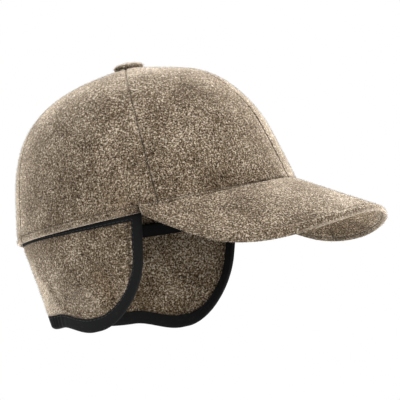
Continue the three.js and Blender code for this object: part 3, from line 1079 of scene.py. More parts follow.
    def panel(self, panel: Panel) -> Piece:
        """Builds one panel as a closed skin.

        Args:
            panel: The panel.

        Returns:
            The panel's cloth.
        """
        above, depth = self.heights()
        outer, outer_marks = self.side(panel, above, depth, inside=False)
        inner_above, inner_depth = np.array(self.inner_rows).T * MM
        inner, inner_marks = self.side(panel, inner_above, inner_depth, inside=True)
        grid = np.concatenate([outer, inner[::-1]]).transpose(1, 0, 2)
        marks = {m: np.concatenate([outer_marks[m], inner_marks[m][::-1]]).T for m in outer_marks}
        return swept_mesh(panel.node + "_cloth", grid, loop=False, marks=marks)

    def stitch_path(self, count: int = 900) -> tuple[Array, Array]:
        """The closed path of the hem's stitch row.

        Args:
            count: Points on the path.

        Returns:
            Points of the path, and the outward direction at each.
        """
        angle = np.linspace(0, 2 * math.pi, count, endpoint=False)
        station = self.shape.station_at(angle, self.stitch_height)
        outer = self.shape.surface(angle, station)
        sway, _ = self.lie(angle, outer)
        normal, _ = self.shape.frame(angle, station)
        seat = self.stitch_press - THREAD_LIFT
        path = outer - normal * (seat - sway)[:, None]
        return self.shape.tipped(path), self.shape.tipped(normal)


@dataclass
class Peak:
    """The arched peak: wool over a stiff core, with a turned edge and a stitch row inside it."""

    shape: CrownShape
    slope: float = math.radians(33.4)
    arch_radius: float = 104.2 * MM
    arch_tighten: float = 0.11
    arch_taper: float = -0.8
    root_forward: float = 100.6 * MM
    root_height: float = -1.8 * MM
    half_width: float = 91.2 * MM
    roundness: float = 2.32
    centre: float = -16.5 * MM
    reach_ahead: float = 89.2 * MM
    reach_behind: float = 134.4 * MM
    corner_turn: float = math.radians(105)
    corner_angle: float = math.radians(76)
    corner_start: float = 0.75
    corner_sink: float = 2.5 * MM
    thickness: float = 3.6 * MM
    corner_thickness: float = 1.8 * MM
    stitch_inset: float = 4.2 * MM
    stitch_press: float = 0.28 * MM
    edge_roll: float = 0.12 * MM
    root_press: float = 0.9 * MM
    corner_bury: float = 1.7 * MM
    sway: float = 0.35 * MM
    sway_length: float = 32.0 * MM
    columns: int = 220
    rows: int = 44
    edge_rows: tuple[float, ...] = (6.5, 5.6, 5.0, 4.6, 4.2, 3.8, 3.4, 2.8, 2.1, 1.5, 1.0, 0.6, 0.3, 0.1, 0.0)
    root_rows: tuple[float, ...] = (0, 0.3, 0.7, 1.2, 1.9)

    def middle(self, x: Array, y: Array) -> Array:
        """The middle surface of the peak, an arch that narrows as it runs ahead.

        Args:
            x: Places ahead.
            y: Places to the left.

        Returns:
            Its heights there.
        """
        ahead = np.zeros(np.broadcast(x, y).shape)
        drop = ahead
        for _ in range(SEARCH_ROUNDS):
            radius = self.arch_radius * (1 + self.arch_taper * ahead)
            drop = radius - np.sqrt(radius * radius - y * y)
            ahead = (x - self.root_forward + drop * math.sin(self.slope)) / math.cos(self.slope)
        return self.root_height - ahead * math.sin(self.slope) - drop * math.cos(self.slope)

    def slopes(self, x: Array, y: Array) -> tuple[Array, Array]:
        """How the middle surface rises.

        Args:
            x: Places ahead.
            y: Places to the left.

        Returns:
            Its slopes ahead and to the left.
        """
        step = 0.05 * MM
        ahead = (self.middle(x + step, y) - self.middle(x - step, y)) / (2 * step)
        left = (self.middle(x, y + step) - self.middle(x, y - step)) / (2 * step)
        return ahead, left

    def face(self, x: Array, y: Array, half: Array) -> Array:
        """Heights of a face that stands half a thickness off the middle surface."""
        ahead, left = self.slopes(x, y)
        return self.middle(x, y) + half * np.sqrt(1 + ahead**2 + left**2)

    def top_at(self, x: Array, y: Array, angle: Array) -> Array:
        """Heights of the upper face beside the crown, at angles round the cap."""
        half, sink = self.thinned(np.abs((angle + math.pi) % (2 * math.pi) - math.pi) / self.corner_angle)
        return self.face(x, y, half) - sink

    def thinned(self, turned: Array) -> tuple[Array, Array]:
        """How the board thins and sinks towards its corners.

        Args:
            turned: Shares of the way to a corner.

        Returns:
            Half the thickness, and the depth that it sinks by.
        """
        corner = smoothstep(turned, self.corner_start, 1)
        half = (self.thickness + (self.corner_thickness - self.thickness) * corner) / 2
        return half, self.corner_sink * corner

    def root(self, angle: Array, half: Array, sink: Array) -> Array:
        """Points where a face meets the crown's wall.

        Args:
            angle: Angles round the cap from the forehead, in radians.
            half: How far the face stands off the middle surface.
            sink: How far it sinks.

        Returns:
            Points in the cap's own frame.
        """
        turned = np.abs(angle) / self.corner_angle
        depth = self.corner_bury * smoothstep(turned, 0.4, 0.7)
        point = self.shape.point(angle, np.zeros_like(angle), depth)
        for _ in range(SEARCH_ROUNDS):
            height = self.face(point[:, 0], point[:, 1], half) - sink
            above = np.maximum(height - self.shape.rim(angle), 0)
            point = self.shape.point(angle, self.shape.station_at(angle, above), depth)
            point[:, 2] = height
        return point

    def edge(self, turn: Array) -> Array:
        """The outline, drawn flat and then bent over the arch.

        Args:
            turn: Angles round the outline from its tip, in radians.

        Returns:
            Places ahead and to the left.
        """
        power = 2 / self.roundness
        across, ahead = np.sin(turn), np.cos(turn)
        side = self.half_width * np.sign(across) * np.abs(across) ** power
        reach = np.where(ahead > 0, self.reach_ahead, self.reach_behind)
        forward = self.centre + reach * np.sign(ahead) * np.abs(ahead) ** power
        flat = side / self.arch_radius
        bend = flat * (1 + self.arch_tighten * flat * flat)
        radius = self.arch_radius * (1 + self.arch_taper * forward)
        drop = radius * (1 - np.cos(bend))
        x = self.root_forward + forward * math.cos(self.slope) - drop * math.sin(self.slope)
        return np.stack([x, radius * np.sin(bend)], -1)

    def from_edge(self, x: Array, y: Array) -> Array:
        """Distances to the outline, over the middle surface.

        Args:
            x: Places ahead.
            y: Places to the left.

        Returns:
            One distance for each place.
        """
        turn = np.linspace(-1.02 * self.corner_turn, 1.02 * self.corner_turn, 900)
        line = self.edge(turn)
        line = np.stack([line[:, 0], line[:, 1], self.middle(line[:, 0], line[:, 1])], -1)
        points = np.stack([x, y, self.middle(x, y)], -1).reshape(-1, 3)
        a, along = line[:-1], np.diff(line, axis=0)
        best = np.full(len(points), np.inf)
        for start, step in zip(a, along):
            share = np.clip((points - start) @ step / (step @ step), 0, 1)
            gap = np.linalg.norm(points - start - share[:, None] * step, axis=1)
            best = np.minimum(best, gap)
        return best.reshape(x.shape)

    def side(self, sign: int) -> tuple[Array, dict[Mark, Array], Array]:
        """One face of the peak, from the root to the edge.

        Args:
            sign: 1 for the upper face, -1 for the lower one.

        Returns:
            Points as [column, row, XYZ] in the cap's own frame, their marks and their distances to the edge.
        """
        share = np.linspace(1, -1, self.columns + 1)
        half, sink = self.thinned(np.abs(share))
        root = self.root(self.corner_angle * share, sign * half, sink)
        edge = self.edge(self.corner_turn * share)
        length = np.linalg.norm(edge - root[:, :2], axis=1)[:, None]
        near, far = np.array(self.root_rows) * MM, np.array(self.edge_rows) * MM
        between = np.linspace(0, 1, self.rows + 1)[1:-1]
        body = near[-1] + (length - far[0] - near[-1]) * between
        run = np.concatenate([near + 0 * length, body, length - far], 1)
        along = run / length
        x = root[:, :1] + (edge[:, :1] - root[:, :1]) * along
        y = root[:, 1:2] + (edge[:, 1:2] - root[:, 1:2]) * along
        distance = self.from_edge(x, y)
        half = half[:, None]
        rounded = half * np.sqrt(1 - (1 - np.clip(distance / half, 0, 1)) ** 2)
        pressed = self.stitch_press * bell(distance, self.stitch_inset, 0.7 * MM)
        rolled = self.edge_roll * bell(distance, 2.0 * MM, 1.0 * MM)
        height = rounded - pressed + rolled - (self.root_press if sign > 0 else 0) * bell(run, 0, 1.0 * MM)
        z = self.face(x, y, sign * height) - sink[:, None] * (1 - along)
        flat = np.stack([x, y, 0 * z], -1)
        z = z + self.sway * soft_noise(flat, self.sway_length) * smoothstep(run, 0, 12 * MM)
        return np.stack([x, y, z], -1), self.marks(sign, share, run, distance), distance

    def marks(self, sign: int, share: Array, run: Array, distance: Array) -> dict[Mark, Array]:
        """Marks of one face: painted shade at the root, along the stitches and at the edge on the unlit side,
        painted highlights along the edge, and painted warm shade on the lower face.

        Args:
            sign: 1 for the upper face, -1 for the lower one.
            share: The place of each column, from 1 at the left corner to -1 at the right one.
            run: Distances from the root.
            distance: Distances to the edge.

        Returns:
            Values as [column, row] by mark.
        """
        # Painted shade in the stitch groove and at the root, painted highlight along the edge, and painted
        # shade near the root and at the unlit side's edge.
        crease = 0.12 * bell(distance, self.stitch_inset, 0.6 * MM) + 0.8 * bell(run, 0, 0.9 * MM)
        lit = (0.15 + 0.85 * smoothstep(share, -0.55, -0.35))[:, None]
        rim = 0.12 * bell(distance, 0, 0.75 * MM)
        shade = 0.32 * bell(run, 0, 24 * MM) + 0.08 * (1 - lit) * bell(distance, 0, 2.4 * MM)
        if sign > 0:
            under = 0 * rim
        else:
            # Painted warm shade on the lower face, weaker towards the left corner, with more painted shade in
            # the stitch groove and painted highlights along the lit side's edge.
            less = (1 - 0.5 * smoothstep(share, -0.3, 0.1))[:, None]
            under = smoothstep(distance, 1.5 * MM, 12 * MM) * less
            crease = crease + 0.4 * bell(distance, self.stitch_inset, 0.6 * MM)
            rim = 0.9 * lit * bell(distance, 0.15 * MM, 0.45 * MM)
            rim = np.maximum(rim, 0.35 * lit * bell(distance, 2.6 * MM, 2 * MM))
        return {
            Mark.CREASE: np.minimum(crease, 1),
            Mark.RIM: rim,
            Mark.UNDER: under,
            Mark.SHADE: shade,
            Mark.NAP: smoothstep(run, 1.2 * MM, 2 * MM),
        }

    def build(self) -> Piece:
        """Builds the peak as one closed skin.

        Returns:
            The new object.
        """
        upper, upper_marks, _ = self.side(1)
        lower, lower_marks, _ = self.side(-1)
        grid = self.shape.tipped(np.concatenate([upper, lower[:, ::-1]], 1))
        marks = {m: np.concatenate([upper_marks[m], lower_marks[m][:, ::-1]], 1) for m in upper_marks}
        return swept_mesh("peak_cloth", grid, loop=False, marks=marks)

    def stitch_path(self, sign: int) -> tuple[Array, Array]:
        """The path of the stitch row on one face.

        Args:
            sign: 1 for the upper face, -1 for the lower one.

        Returns:
            Points of the path, and the outward direction at each.
        """
        points, _, distance = self.side(sign)
        path = []
        for column, gaps in zip(points, distance):
            if gaps.max() > self.stitch_inset:
                inward, measured = column[::-1], np.maximum.accumulate(gaps[::-1])
                path.append([np.interp(self.stitch_inset, measured, inward[:, k]) for k in range(3)])
        path = np.array(path)
        ahead, left = self.slopes(path[:, 0], path[:, 1])
        normal = sign * unit(np.stack([-ahead, -left, np.ones_like(ahead)], -1))
        return self.shape.tipped(path + THREAD_LIFT * normal), self.shape.tipped(normal)


@dataclass(frozen=True)
class Fold:
    """A soft ridge of the flap, or a valley where the height is below 0. Angles are degrees from the nape."""

    from_angle: float
    from_drop: float
    to_angle: float
    to_drop: float
    half_width: float
    height: float


FOLDS = (
    Fold(42, 22, 61, 50, 5, 1.3),
    Fold(55, 38, 65, 56, 3.4, -1.3),
    Fold(68, 22, 73, 36, 8, -0.7),
    Fold(74, 44, 81, 55, 7, 1.8),
    Fold(84, 36, 90, 52, 7, -1.6),
)


@dataclass(frozen=True)
class FlapShape:
    """The form of the flap that hangs from inside the hem, round the back of the head."""

    shape: CrownShape
    front_angle: float = 104.1
    lobe_angle: float = 83
    straight_drop: float = 30 * MM
    lobe_power: float = 1.06
    front_narrow: float = 0.8
    ear_drop: float = 74 * MM
    nape_rise: float = 9 * MM
    nape_start: float = 56
    nape_end: float = 80
    back_rise: float = 5 * MM
    tuck_back: float = 8.3 * MM
    tuck_front: float = 5.6 * MM
    tuck_start: float = 40
    slant_side: float = math.radians(8)
    slant_back: float = math.radians(24)
    bend: float = 2 * MM
    per_degree: float = 1.55 * MM
    hem_wall: float = 3.6 * MM
    gap: float = 0.3 * MM

    def lower_edge(self, angle: Array) -> Array:
        """The lower edge of the flap.

        Args:
            angle: Angles from the nape, in degrees.

        Returns:
            How far down it lies at each angle.
        """
        angle = np.abs(angle)
        out = np.clip((angle - self.lobe_angle) / (self.front_angle - self.lobe_angle), 0, 1)
        power = 2 / self.lobe_power
        lobe = self.straight_drop + (self.ear_drop - self.straight_drop) * (1 - out**power) ** (1 / power)
        rise = self.nape_rise * (1 - smoothstep(angle, self.nape_start, self.nape_end))
        more = self.back_rise * (1 - smoothstep(angle, 0, self.nape_start))
        return np.where(angle > self.lobe_angle, lobe, self.ear_drop - rise - more)

    def fold_height(self, angle: Array, drop: Array) -> Array:
        """The soft folds of the flap.

        Args:
            angle: Angles from the nape, in degrees.
            drop: Lengths down from the hem.

        Returns:
            Their heights there, below 0 in a valley.
        """
        here = np.stack([np.abs(angle) * self.per_degree, drop], -1)
        height = np.zeros(here.shape[:-1])
        for fold in FOLDS:
            start = np.array([fold.from_angle * self.per_degree, fold.from_drop * MM])
            along = np.array([fold.to_angle * self.per_degree, fold.to_drop * MM]) - start
            share = np.clip((here - start) @ along / (along @ along), 0, 1)
            away = np.linalg.norm(here - start - share[..., None] * along, axis=-1)
            height = height + fold.height * MM * bell(away, 0, fold.half_width * MM)
        return height * smoothstep(self.lower_edge(angle) - drop, 8 * MM, 16 * MM)

    def laid_out(self, angle: Array, drop: Array) -> Array:
        """Places on the cloth laid flat: along the hem, down from it, and 0."""
        return np.stack([angle * self.per_degree, drop, 0 * drop], -1)

    def tuck(self, angle: Array) -> Array:
        """How far the upper edge goes up inside the hem."""
        share = smoothstep(np.abs(angle), self.tuck_start, self.front_angle)
        return self.tuck_back + (self.tuck_front - self.tuck_back) * share

    def point(self, angle: Array, drop: Array, depth: Array) -> Array:
        """Points of the hanging cloth in the worn frame.

        Args:
            angle: Angles from the nape in degrees, the wearer's right side being above 0.
            drop: Lengths down from the hem. Above the hem the cloth lies along the crown's wall.
            depth: Depths inwards from the outside of the binding.

        Returns:
            One point for each set of values.
        """
        angle, drop, depth = np.broadcast_arrays(angle, drop, depth)
        around = math.pi + np.radians(angle)
        inside = self.hem_wall + self.gap + depth
        station = self.shape.station_at(around, np.maximum(-drop, 0))
        point = self.shape.tipped(self.shape.point(around, station, inside))
        normal, _ = self.shape.frame(around, np.zeros_like(around))
        inward = -self.shape.tipped(normal)
        inward[..., 2] = 0
        inward = unit(inward)
        back = 1 - smoothstep(np.abs(angle), 0, 90)
        slant = self.slant_side + (self.slant_back - self.slant_side) * back
        hung = np.maximum(drop, 0)
        run = hung - self.bend * (1 - np.exp(-hung / self.bend))
        lean = run * np.sin(slant) - np.where(drop > 0, self.fold_height(angle, drop), 0)
        point = point + inward * lean[..., None]
        point[..., 2] -= hung - run * (1 - np.cos(slant))
        return point

    def columns(self, inset: float, lobe: int, back: int) -> tuple[Array, Array, Array]:
        """The outline drawn in by an inset.

        Args:
            inset: How far the outline is drawn in.
            lobe: Columns on each rounded front corner.
            back: Columns between the lobes.

        Returns:
            For each column its angle from the nape and the drops of its upper and lower ends.
        """
        lobe_at = np.radians([180 + self.lobe_angle])
        _, per_radian = self.shape.frame(lobe_at, np.zeros(1))
        shift = math.degrees(inset * self.front_narrow / per_radian[0])
        wide = self.front_angle - self.lobe_angle - shift
        deep = self.ear_drop - self.straight_drop - inset
        turn = np.arange(lobe) / lobe * math.pi / 2
        left = -self.lobe_angle - wide * np.cos(turn) ** self.lobe_power
        rounded = self.straight_drop + deep * np.sin(turn) ** self.lobe_power
        middle = np.linspace(-self.lobe_angle, self.lobe_angle, back + 1)
        angle = np.concatenate([left, middle, -left[::-1]])
        bottom = np.concatenate([rounded, self.lower_edge(middle) - inset, rounded[::-1]])
        return angle, inset - self.tuck(angle), bottom


@dataclass
class EarFlap:
    """The wool cloth of the flap."""

    form: FlapShape
    inset: float = 1.4 * MM
    outer: float = 0.85 * MM
    full: float = 0.45 * MM
    cloth: float = 2.3 * MM
    puff: float = 0.35 * MM
    sway: float = 0.5 * MM
    sway_length: float = 26 * MM
    wrinkle: float = 0.35 * MM
    wrinkle_length: float = 9 * MM
    columns: int = 190
    lobe_columns: int = 36
    rows: int = 78

    def build(self) -> Piece:
        """Builds the cloth as one closed skin.

        Returns:
            The new object.
        """
        angle, top, bottom = self.form.columns(self.inset, self.lobe_columns, self.columns)
        share = np.linspace(0, 1, self.rows + 1)
        drop = bottom[:, None] + (top - bottom)[:, None] * share
        angle = np.broadcast_to(angle[:, None], drop.shape)
        below = self.form.lower_edge(angle) - drop
        beside = (self.form.front_angle - np.abs(angle)) * self.form.per_degree
        edge = np.minimum(below, beside)
        outer = self.outer + (self.full - self.outer) * smoothstep(edge, 9 * MM, 15 * MM)
        free = smoothstep(edge, 9.5 * MM, 18 * MM) * smoothstep(drop, 3 * MM, 12 * MM)
        outer = outer - self.puff * bell(edge, 12 * MM, 2 * MM) * smoothstep(drop, 3 * MM, 9 * MM)
        flat = self.form.laid_out(angle, drop)
        outer = outer - self.sway * soft_noise(flat, self.sway_length) * free
        gather = bell(angle, 50, 12) + bell(angle, -50, 12)
        near = smoothstep(edge, 9 * MM, 13 * MM) * (1 - smoothstep(edge, 16 * MM, 32 * MM))
        outer = outer - self.wrinkle * soft_noise(flat * (1.6, 0.6, 1), self.wrinkle_length) * gather * near
        front = self.form.point(angle, drop, outer)
        rear = self.form.point(angle, drop, outer + self.cloth * (1 - 0.35 * (1 - free)))
        grid = np.concatenate([front, rear[:, ::-1]], 1)
        return swept_mesh("ear_flap_cloth", grid, loop=False, marks=self.marks(angle, drop, edge))

    def marks(self, angle: Array, drop: Array, edge: Array) -> dict[Mark, Array]:
        """Marks of the cloth: painted shade under the band, where it tucks in, in the valleys and towards the
        front, and painted highlights on the ridges and low on the back.

        Args:
            angle: Angles from the nape in degrees.
            drop: Lengths down from the hem.
            edge: Distances to the free edge.

        Returns:
            Values as [column, point] by mark, the outer side first and then the inner one.
        """
        # Painted shade where the cloth tucks into the band and just below it; the inner side gets less.
        tucked = bell(edge, 9 * MM, 0.9 * MM) * smoothstep(drop, 0, 6 * MM)
        crease = np.minimum(0.75 * tucked + 0.5 * (1 - smoothstep(drop, 0, 6 * MM)), 1)
        relief = self.form.fold_height(angle, drop)
        shade = 0.5 * (1 - smoothstep(drop, 5 * MM, 18 * MM)) + 0.5 * smoothstep(-relief, 0.2 * MM, 1.4 * MM)
        front_part = bell(np.abs(angle), 88, 8) * smoothstep(drop, 8 * MM, 20 * MM)
        shade = np.clip(shade + 0.32 * front_part - 0.3 * smoothstep(relief, 0, 2 * MM), 0, 1)
        rim = 0.26 * smoothstep(relief, 0.3 * MM, 1.3 * MM)
        rim = np.maximum(rim, 0.16 * bell(np.abs(angle), 48, 26) * smoothstep(drop, 14 * MM, 34 * MM))
        grown = smoothstep(edge, 9.5 * MM, 10 * MM) * (drop > 3 * MM)
        return {
            Mark.CREASE: np.concatenate([crease, 0.3 * crease[:, ::-1]], 1),
            Mark.RIM: np.concatenate([rim, 0 * rim], 1),
            Mark.SHADE: np.concatenate([shade, 0 * shade], 1),
            Mark.NAP: np.concatenate([grown, 0 * grown], 1),
        }


@dataclass
class Binding:
    """The dark knitted elastic band folded over the flap's edge."""

    form: FlapShape
    band: float = 0.8 * MM
    width: float = 9.5 * MM
    total: float = 4.2 * MM
    gather: float = 0.75 * MM
    gather_angle: float = 50.0
    gather_length: float = 5.6 * MM
    sway: float = 0.22 * MM
    sway_length: float = 13 * MM
    stitch_inset: float = 8.2 * MM
    lobe_columns: int = 40
    back_columns: int = 300
    front_columns: int = 12
    arc_steps: int = 10

    def ring(self) -> Array:
        """The band's section, out along the leg, over the fold and back inside.

        Returns:
            Insets and depths, one pair for each point.
        """
        r, inner = self.total / 2, self.total / 2 - self.band
        turn = np.linspace(0, math.pi, self.arc_steps + 1)
        fold = np.stack([r - r * np.sin(turn), r - r * np.cos(turn)], 1)
        hollow = np.stack([r - inner * np.sin(turn), r - inner * np.cos(turn)], 1)[::-1]
        leg = np.array([(6, 0.8), (9.3, 0.78), (9.5, 0.45), (9.44, 0.12), (9.2, 0), (8.7, -0.02), (8.2, 0.1)])
        leg = np.concatenate([leg, [(7.7, 0), (6.5, -0.04), (5.2, -0.04), (3.8, 0)]]) * MM
        rear = leg[::-1] * (1, -1) + (0, self.total)
        return np.concatenate([leg, fold, rear, hollow])

    def path(self, inset: float) -> tuple[Array, Array]:
        """The closed path at an inset, along the top, down the front, back and up.

        Args:
            inset: How far the path lies inside the edge of the flap.

        Returns:
            Angles from the nape, and drops from the hem.
        """
        angle, top, bottom = self.form.columns(inset, self.lobe_columns, self.back_columns)
        share = np.arange(1, self.front_columns) / self.front_columns
        down = top[-1] + (bottom[-1] - top[-1]) * share
        angles = [angle, np.full(len(share), angle[-1]), angle[::-1], np.full(len(share), angle[0])]
        return np.concatenate(angles), np.concatenate([top, down, bottom[::-1], down[::-1]])

    def lift(self, angle: Array, drop: Array, outside: Array) -> Array:
        """How far the band's surface stands out of its plain form.

        Args:
            angle: Angles from the nape, in degrees.
            drop: Lengths down from the hem.
            outside: 1 on the outer side, and 0 on the inner one.

        Returns:
            One height for each place.
        """
        flat = self.form.laid_out(angle, drop)
        swell = self.sway * soft_noise(flat, self.sway_length)
        low = smoothstep(drop, 40 * MM, 52 * MM)
        near = bell(np.abs(angle), self.gather_angle, 9.0) * low
        wave = np.sin(2 * math.pi * np.abs(angle) * self.form.per_degree / self.gather_length)
        return (swell + self.gather * wave * near) * outside

    def build(self) -> Piece:
        """Builds the band as one closed skin.

        Returns:
            The new object.
        """
        ring = self.ring()
        paths = [self.path(inset) for inset in ring[:, 0]]
        angle = np.stack([p[0] for p in paths], 1)
        drop = np.stack([p[1] for p in paths], 1)
        depth = np.broadcast_to(ring[:, 1], angle.shape)
        outside = 1 - smoothstep(depth, 0.2 * MM, 1.6 * MM)
        grid = self.form.point(angle, drop, depth - self.lift(angle, drop, outside))
        steps = np.linalg.norm(np.diff(grid[:, 0], axis=0), axis=-1)
        along = np.concatenate([[0], np.cumsum(steps)])
        round_ring = np.linalg.norm(np.diff(ring, axis=0), axis=-1)
        across = np.concatenate([[0], np.cumsum(round_ring)])
        marks = {
            Mark.ALONG: np.broadcast_to(along[:, None], angle.shape),
            Mark.ACROSS: np.broadcast_to(across, angle.shape),
        }
        return swept_mesh("flap_binding_band", grid, loop=True, marks=marks)

    def stitch_path(self) -> tuple[Array, Array]:
        """The closed path of the stitch row that holds the band.

        Returns:
            Points of the path, and the outward direction at each.
        """
        angle, drop = self.path(self.stitch_inset)
        depth = 0.1 * MM - self.lift(angle, drop, np.ones_like(drop))
        path = self.form.point(angle, drop, depth - 0.08 * MM)
        below = self.form.point(angle, drop, depth + 1 * MM)
        return path, unit(path - below)


@dataclass
class StitchRow:
    """A row of stitches along a path, laid by Geometry Nodes."""

    name: str
    pitch: float = 3.3 * MM
    stitch: float = 2.5 * MM
    thread: float = 0.17 * MM
    sides: int = 5
    bends: int = 4

    def tree(self, material: Material) -> NodeTree:
        """Builds the node group that lays the stitches.

        Args:
            material: The thread's material.

        Returns:
            The group.
        """
        canvas, given, result = laying_group(self.name, ("Pitch", "Stitch", "Thread"))
        line = canvas.add("GeometryNodeMeshToCurve", {"Mesh": given.outputs["Geometry"]}).outputs[0]
        inputs = {"Curve": line, "Length": given.outputs["Pitch"]}
        rail = canvas.add("GeometryNodeResampleCurve", inputs, mode="LENGTH").outputs[0]
        half = canvas.maths("MULTIPLY", given.outputs["Stitch"], 0.5)
        back = canvas.maths("MULTIPLY", half, -1.0)
        low = canvas.maths("MULTIPLY", given.outputs["Thread"], -1.6)
        high = canvas.maths("MULTIPLY", given.outputs["Thread"], 2.2)
        start = canvas.add("ShaderNodeCombineXYZ", {"X": back, "Z": low}).outputs[0]
        middle = canvas.add("ShaderNodeCombineXYZ", {"Z": high}).outputs[0]
        end = canvas.add("ShaderNodeCombineXYZ", {"X": half, "Z": low}).outputs[0]
        points = {"Resolution": self.bends, "Start": start, "Middle": middle, "End": end}
        arc = canvas.add("GeometryNodeCurveQuadraticBezier", points).outputs[0]
        points = {"Resolution": self.sides, "Radius": given.outputs["Thread"]}
        section = canvas.add("GeometryNodeCurvePrimitiveCircle", points).outputs[0]
        points = {"Curve": arc, "Profile Curve": section, "Fill Caps": True}
        thread = canvas.add("GeometryNodeCurveToMesh", points).outputs[0]
        tangent = canvas.add("GeometryNodeInputTangent").outputs[0]
        axes = {"Primary Axis": canvas.named(Mark.OUTWARD, "FLOAT_VECTOR"), "Secondary Axis": tangent}
        turned = canvas.add("FunctionNodeAxesToRotation", axes, primary_axis="Z", secondary_axis="X")
        inputs = {"Points": rail, "Instance": thread, "Rotation": turned.outputs[0]}
        stitches = canvas.add("GeometryNodeInstanceOnPoints", inputs).outputs[0]
        return close_group(canvas, result, stitches, material)

    def build(self, path: Array, outward: Array, loop: bool, material: Material) -> Piece:
        """Lays the row.

        Args:
            path: Points of the row.
            outward: The direction away from the cloth at each point.
            loop: Whether the last point joins the first.
            material: The thread's material.

        Returns:
            One mesh object with every stitch of the row.
        """
        count = len(path)
        edges = [(i, (i + 1) % count) for i in range(count if loop else count - 1)]
        mesh = bpy.data.meshes.new(self.name)
        mesh.from_pydata(path.tolist(), edges, [])
        attribute = mesh.attributes.new(Mark.OUTWARD.value, "FLOAT_VECTOR", "POINT")
        attribute.data.foreach_set("vector", np.asarray(outward, np.float32).ravel())
        values = {"Pitch": self.pitch, "Stitch": self.stitch, "Thread": self.thread}
        return laid(self.name, mesh, self.tree(material), values)


@dataclass
class Nap:
    """Short loose fibres that stand off the wool, laid by Geometry Nodes."""

    density: float = 1.15e6
    length: float = 1.25 * MM
    root: float = 0.05 * MM
    lean: float = 1.15
    shortest: float = 0.45
    longest: float = 1.3
    sides: int = 3

    def tree(self, name: str, material: Material) -> NodeTree:
        """Builds the node group that sets the fibres on the marked cloth.

        Args:
            name: The group's name.
            material: The fibres' material.

        Returns:
            The group.
        """
        canvas, given, result = laying_group(name, ("Density", "Length", "Root", "Lean"), ("Seed",))
        inputs = {
            "Mesh": given.outputs["Geometry"],
            "Selection": canvas.maths("GREATER_THAN", canvas.named(Mark.NAP, "FLOAT"), 0.5),
            "Density": given.outputs["Density"],
            "Seed": given.outputs["Seed"],
        }
        points = canvas.add("GeometryNodeDistributePointsOnFaces", inputs)
        inputs = {"Vertices": self.sides, "Radius Top": 0.0, "Radius Bottom": given.outputs["Root"]}
        inputs["Depth"] = given.outputs["Length"]
        fibre = canvas.add("GeometryNodeMeshCone", inputs).outputs["Mesh"]
        inputs = {2: self.shortest, 3: self.longest, 8: given.outputs["Seed"]}
        size = canvas.add("FunctionNodeRandomValue", inputs, data_type="FLOAT").outputs[1]
        inputs = {"Points": points.outputs["Points"], "Instance": fibre, "Scale": size}
        inputs["Rotation"] = points.outputs["Rotation"]
        stood = canvas.add("GeometryNodeInstanceOnPoints", inputs).outputs[0]
        lean = given.outputs["Lean"]
        back = canvas.maths("MULTIPLY", lean, -1.0)
        low = canvas.add("ShaderNodeCombineXYZ", {"X": back, "Y": back}).outputs[0]
        high = canvas.add("ShaderNodeCombineXYZ", {"X": lean, "Y": lean, "Z": 2 * math.pi}).outputs[0]
        inputs = {0: low, 1: high, 8: given.outputs["Seed"]}
        turn = canvas.add("FunctionNodeRandomValue", inputs, data_type="FLOAT_VECTOR").outputs[0]
        inputs = {"Instances": stood, "Rotation": turn}
        leaning = canvas.add("GeometryNodeRotateInstances", inputs).outputs[0]
        return close_group(canvas, result, leaning, material)

    def build(self, cloth: Piece, material: Material, seed: int) -> Piece:
        """Grows the fibres of one cloth piece.

        Args:
            cloth: The piece, whose outside is marked.
            material: The fibres' material.
            seed: The seed of their places.

        Returns:
            One mesh object with every fibre.
        """
        name = cloth.name.replace("_cloth", "") + "_nap"
        values = {"Density": self.density, "Length": self.length, "Root": self.root}
        values.update({"Lean": self.lean, "Seed": seed})
        return laid(name, cloth.data.copy(), self.tree(name, material), values)


@dataclass(frozen=True)
class Lamp:
    """One square soft light that faces the cap."""

    name: str
    place: Place
    power: float


LAMPS = (
    Lamp("top_softbox", (-0.3, -0.5, 4.6), 125.0),
    Lamp("high_softbox", (2.6, -0.8, 3.6), 73.0),
    Lamp("front_softbox", (4.4, -1.2, 1.2), 212.0),
    Lamp("rear_softbox", (-3.6, -2.6, 1.4), 185.0),
    Lamp("far_softbox", (-1.0, 4.4, 1.6), 70.0),
)


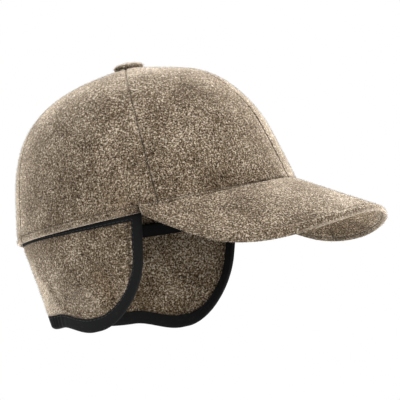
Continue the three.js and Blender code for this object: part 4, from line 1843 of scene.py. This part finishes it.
@dataclass
class Studio:
    """Camera, soft lights, world and floor."""

    azimuth: float = math.radians(25)
    elevation: float = math.radians(-0.44)
    distance: float = 2.5
    lens: float = 319.5
    aim: Place = (0.0331, -0.0023, 0.0120)
    lamp_size: float = 2.0
    floor_height: float = -0.25
    floor_radius: float = 2.0
    world: float = 0.14

    def light(self) -> None:
        """Adds the lamps, which the camera doesn't see."""
        for lamp in LAMPS:
            data = bpy.data.lights.new(lamp.name, "AREA")
            data.shape = "SQUARE"
            data.size = self.lamp_size
            data.energy = lamp.power
            light = linked(lamp.name, data)
            light.location = lamp.place
            light.rotation_euler = (-Vector(lamp.place)).to_track_quat("-Z", "Y").to_euler()
            light.visible_camera = False

    def surround(self) -> None:
        """Sets the white world, which lights the cap less than the camera sees of it."""
        scene = bpy.context.scene
        scene.view_settings.view_transform = "Standard"
        scene.view_settings.look = "None"
        world = bpy.data.worlds.new("studio")
        world.use_nodes = True
        background = world.node_tree.nodes["Background"]
        background.inputs["Color"].default_value = (1, 1, 1, 1)
        canvas = NodeCanvas(world.node_tree)
        seen = canvas.add("ShaderNodeLightPath").outputs["Is Camera Ray"]
        canvas.fill(background, {"Strength": canvas.spread(seen, 0.0, 1.0, (self.world, 1.0))})
        scene.world = world

    def look(self) -> None:
        """Sets the camera where the photo was taken from."""
        data = bpy.data.cameras.new("camera")
        data.lens = self.lens
        data.sensor_width = 36.0
        data.clip_end = 100.0
        camera = linked("camera", data)
        flat = math.cos(self.elevation)
        ahead, aside = -math.cos(self.azimuth) * flat, math.sin(self.azimuth) * flat
        back = Vector((aside, ahead, math.sin(self.elevation)))
        camera.location = Vector(self.aim) + back * self.distance
        camera.rotation_euler = back.to_track_quat("Z", "Y").to_euler()
        bpy.context.scene.camera = camera

    def build(self) -> Piece:
        """Sets the studio up.

        Returns:
            The floor.
        """
        self.surround()
        self.light()
        self.look()
        bpy.ops.mesh.primitive_circle_add(
            vertices=96, radius=self.floor_radius, fill_type="NGON", location=(0, 0, self.floor_height)
        )
        floor = bpy.context.object
        floor.name = "studio_floor"
        return floor


def dress(piece: Piece, material: Material) -> Piece:
    """Gives a piece its one material and slot, and lets it ride on the cap's body.

    Args:
        piece: The piece.
        material: Its material.

    Returns:
        The same piece.
    """
    piece.data.materials.clear()
    piece.data.materials.append(material)
    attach(piece, "root")
    log.info("%s: %d faces", piece.name, len(piece.data.polygons))
    return piece


def main() -> None:
    """Builds the cap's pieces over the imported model."""
    logging.basicConfig(level=logging.INFO, format="%(message)s")
    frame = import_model()
    wool, elastic = WOOL.material("wool_cloth"), ELASTIC.material("knitted_elastic")
    brown, black = BROWN_THREAD.material("brown_thread"), BLACK_THREAD.material("black_thread")
    for name, node in frame["nodes"].items():
        node.data.materials.clear()
        node.data.materials.append(elastic if name == "flap_binding" else wool)
    shape = CrownShape()
    peak, form = Peak(shape), FlapShape(shape)
    button_form = Button(shape)
    crown = Crown(shape, peak, button_form)
    wool_pieces = []
    for panel in PANELS:
        cloth = dress(crown.panel(panel), wool)
        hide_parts(panel.node)
        wool_pieces.append(cloth)
    peak_cloth = dress(peak.build(), wool)
    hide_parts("peak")
    button = dress(button_form.build(), wool)
    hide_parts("button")
    flap = dress(EarFlap(form).build(), wool)
    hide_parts("ear_flap")
    wool_pieces += [peak_cloth, button, flap]
    binding = Binding(form)
    band = dress(binding.build(), elastic)
    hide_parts("flap_binding")
    dress(StitchRow("hem_stitches").build(*crown.stitch_path(), True, brown), brown)
    for name, sign in (("peak_stitches_upper", 1), ("peak_stitches_lower", -1)):
        dress(StitchRow(name).build(*peak.stitch_path(sign), False, brown), brown)
    dress(StitchRow("binding_stitches").build(*binding.stitch_path(), True, black), black)
    fibres = NAP.material("wool_fibres")
    for number, cloth in enumerate(wool_pieces):
        dress(Nap().build(cloth, fibres, SEED + number), fibres)
    floor = Studio().build()
    floor.data.materials.append(FLOOR.material("pale_floor"))
    bpy.context.view_layer.update()


if __name__ == "__main__":
    main()
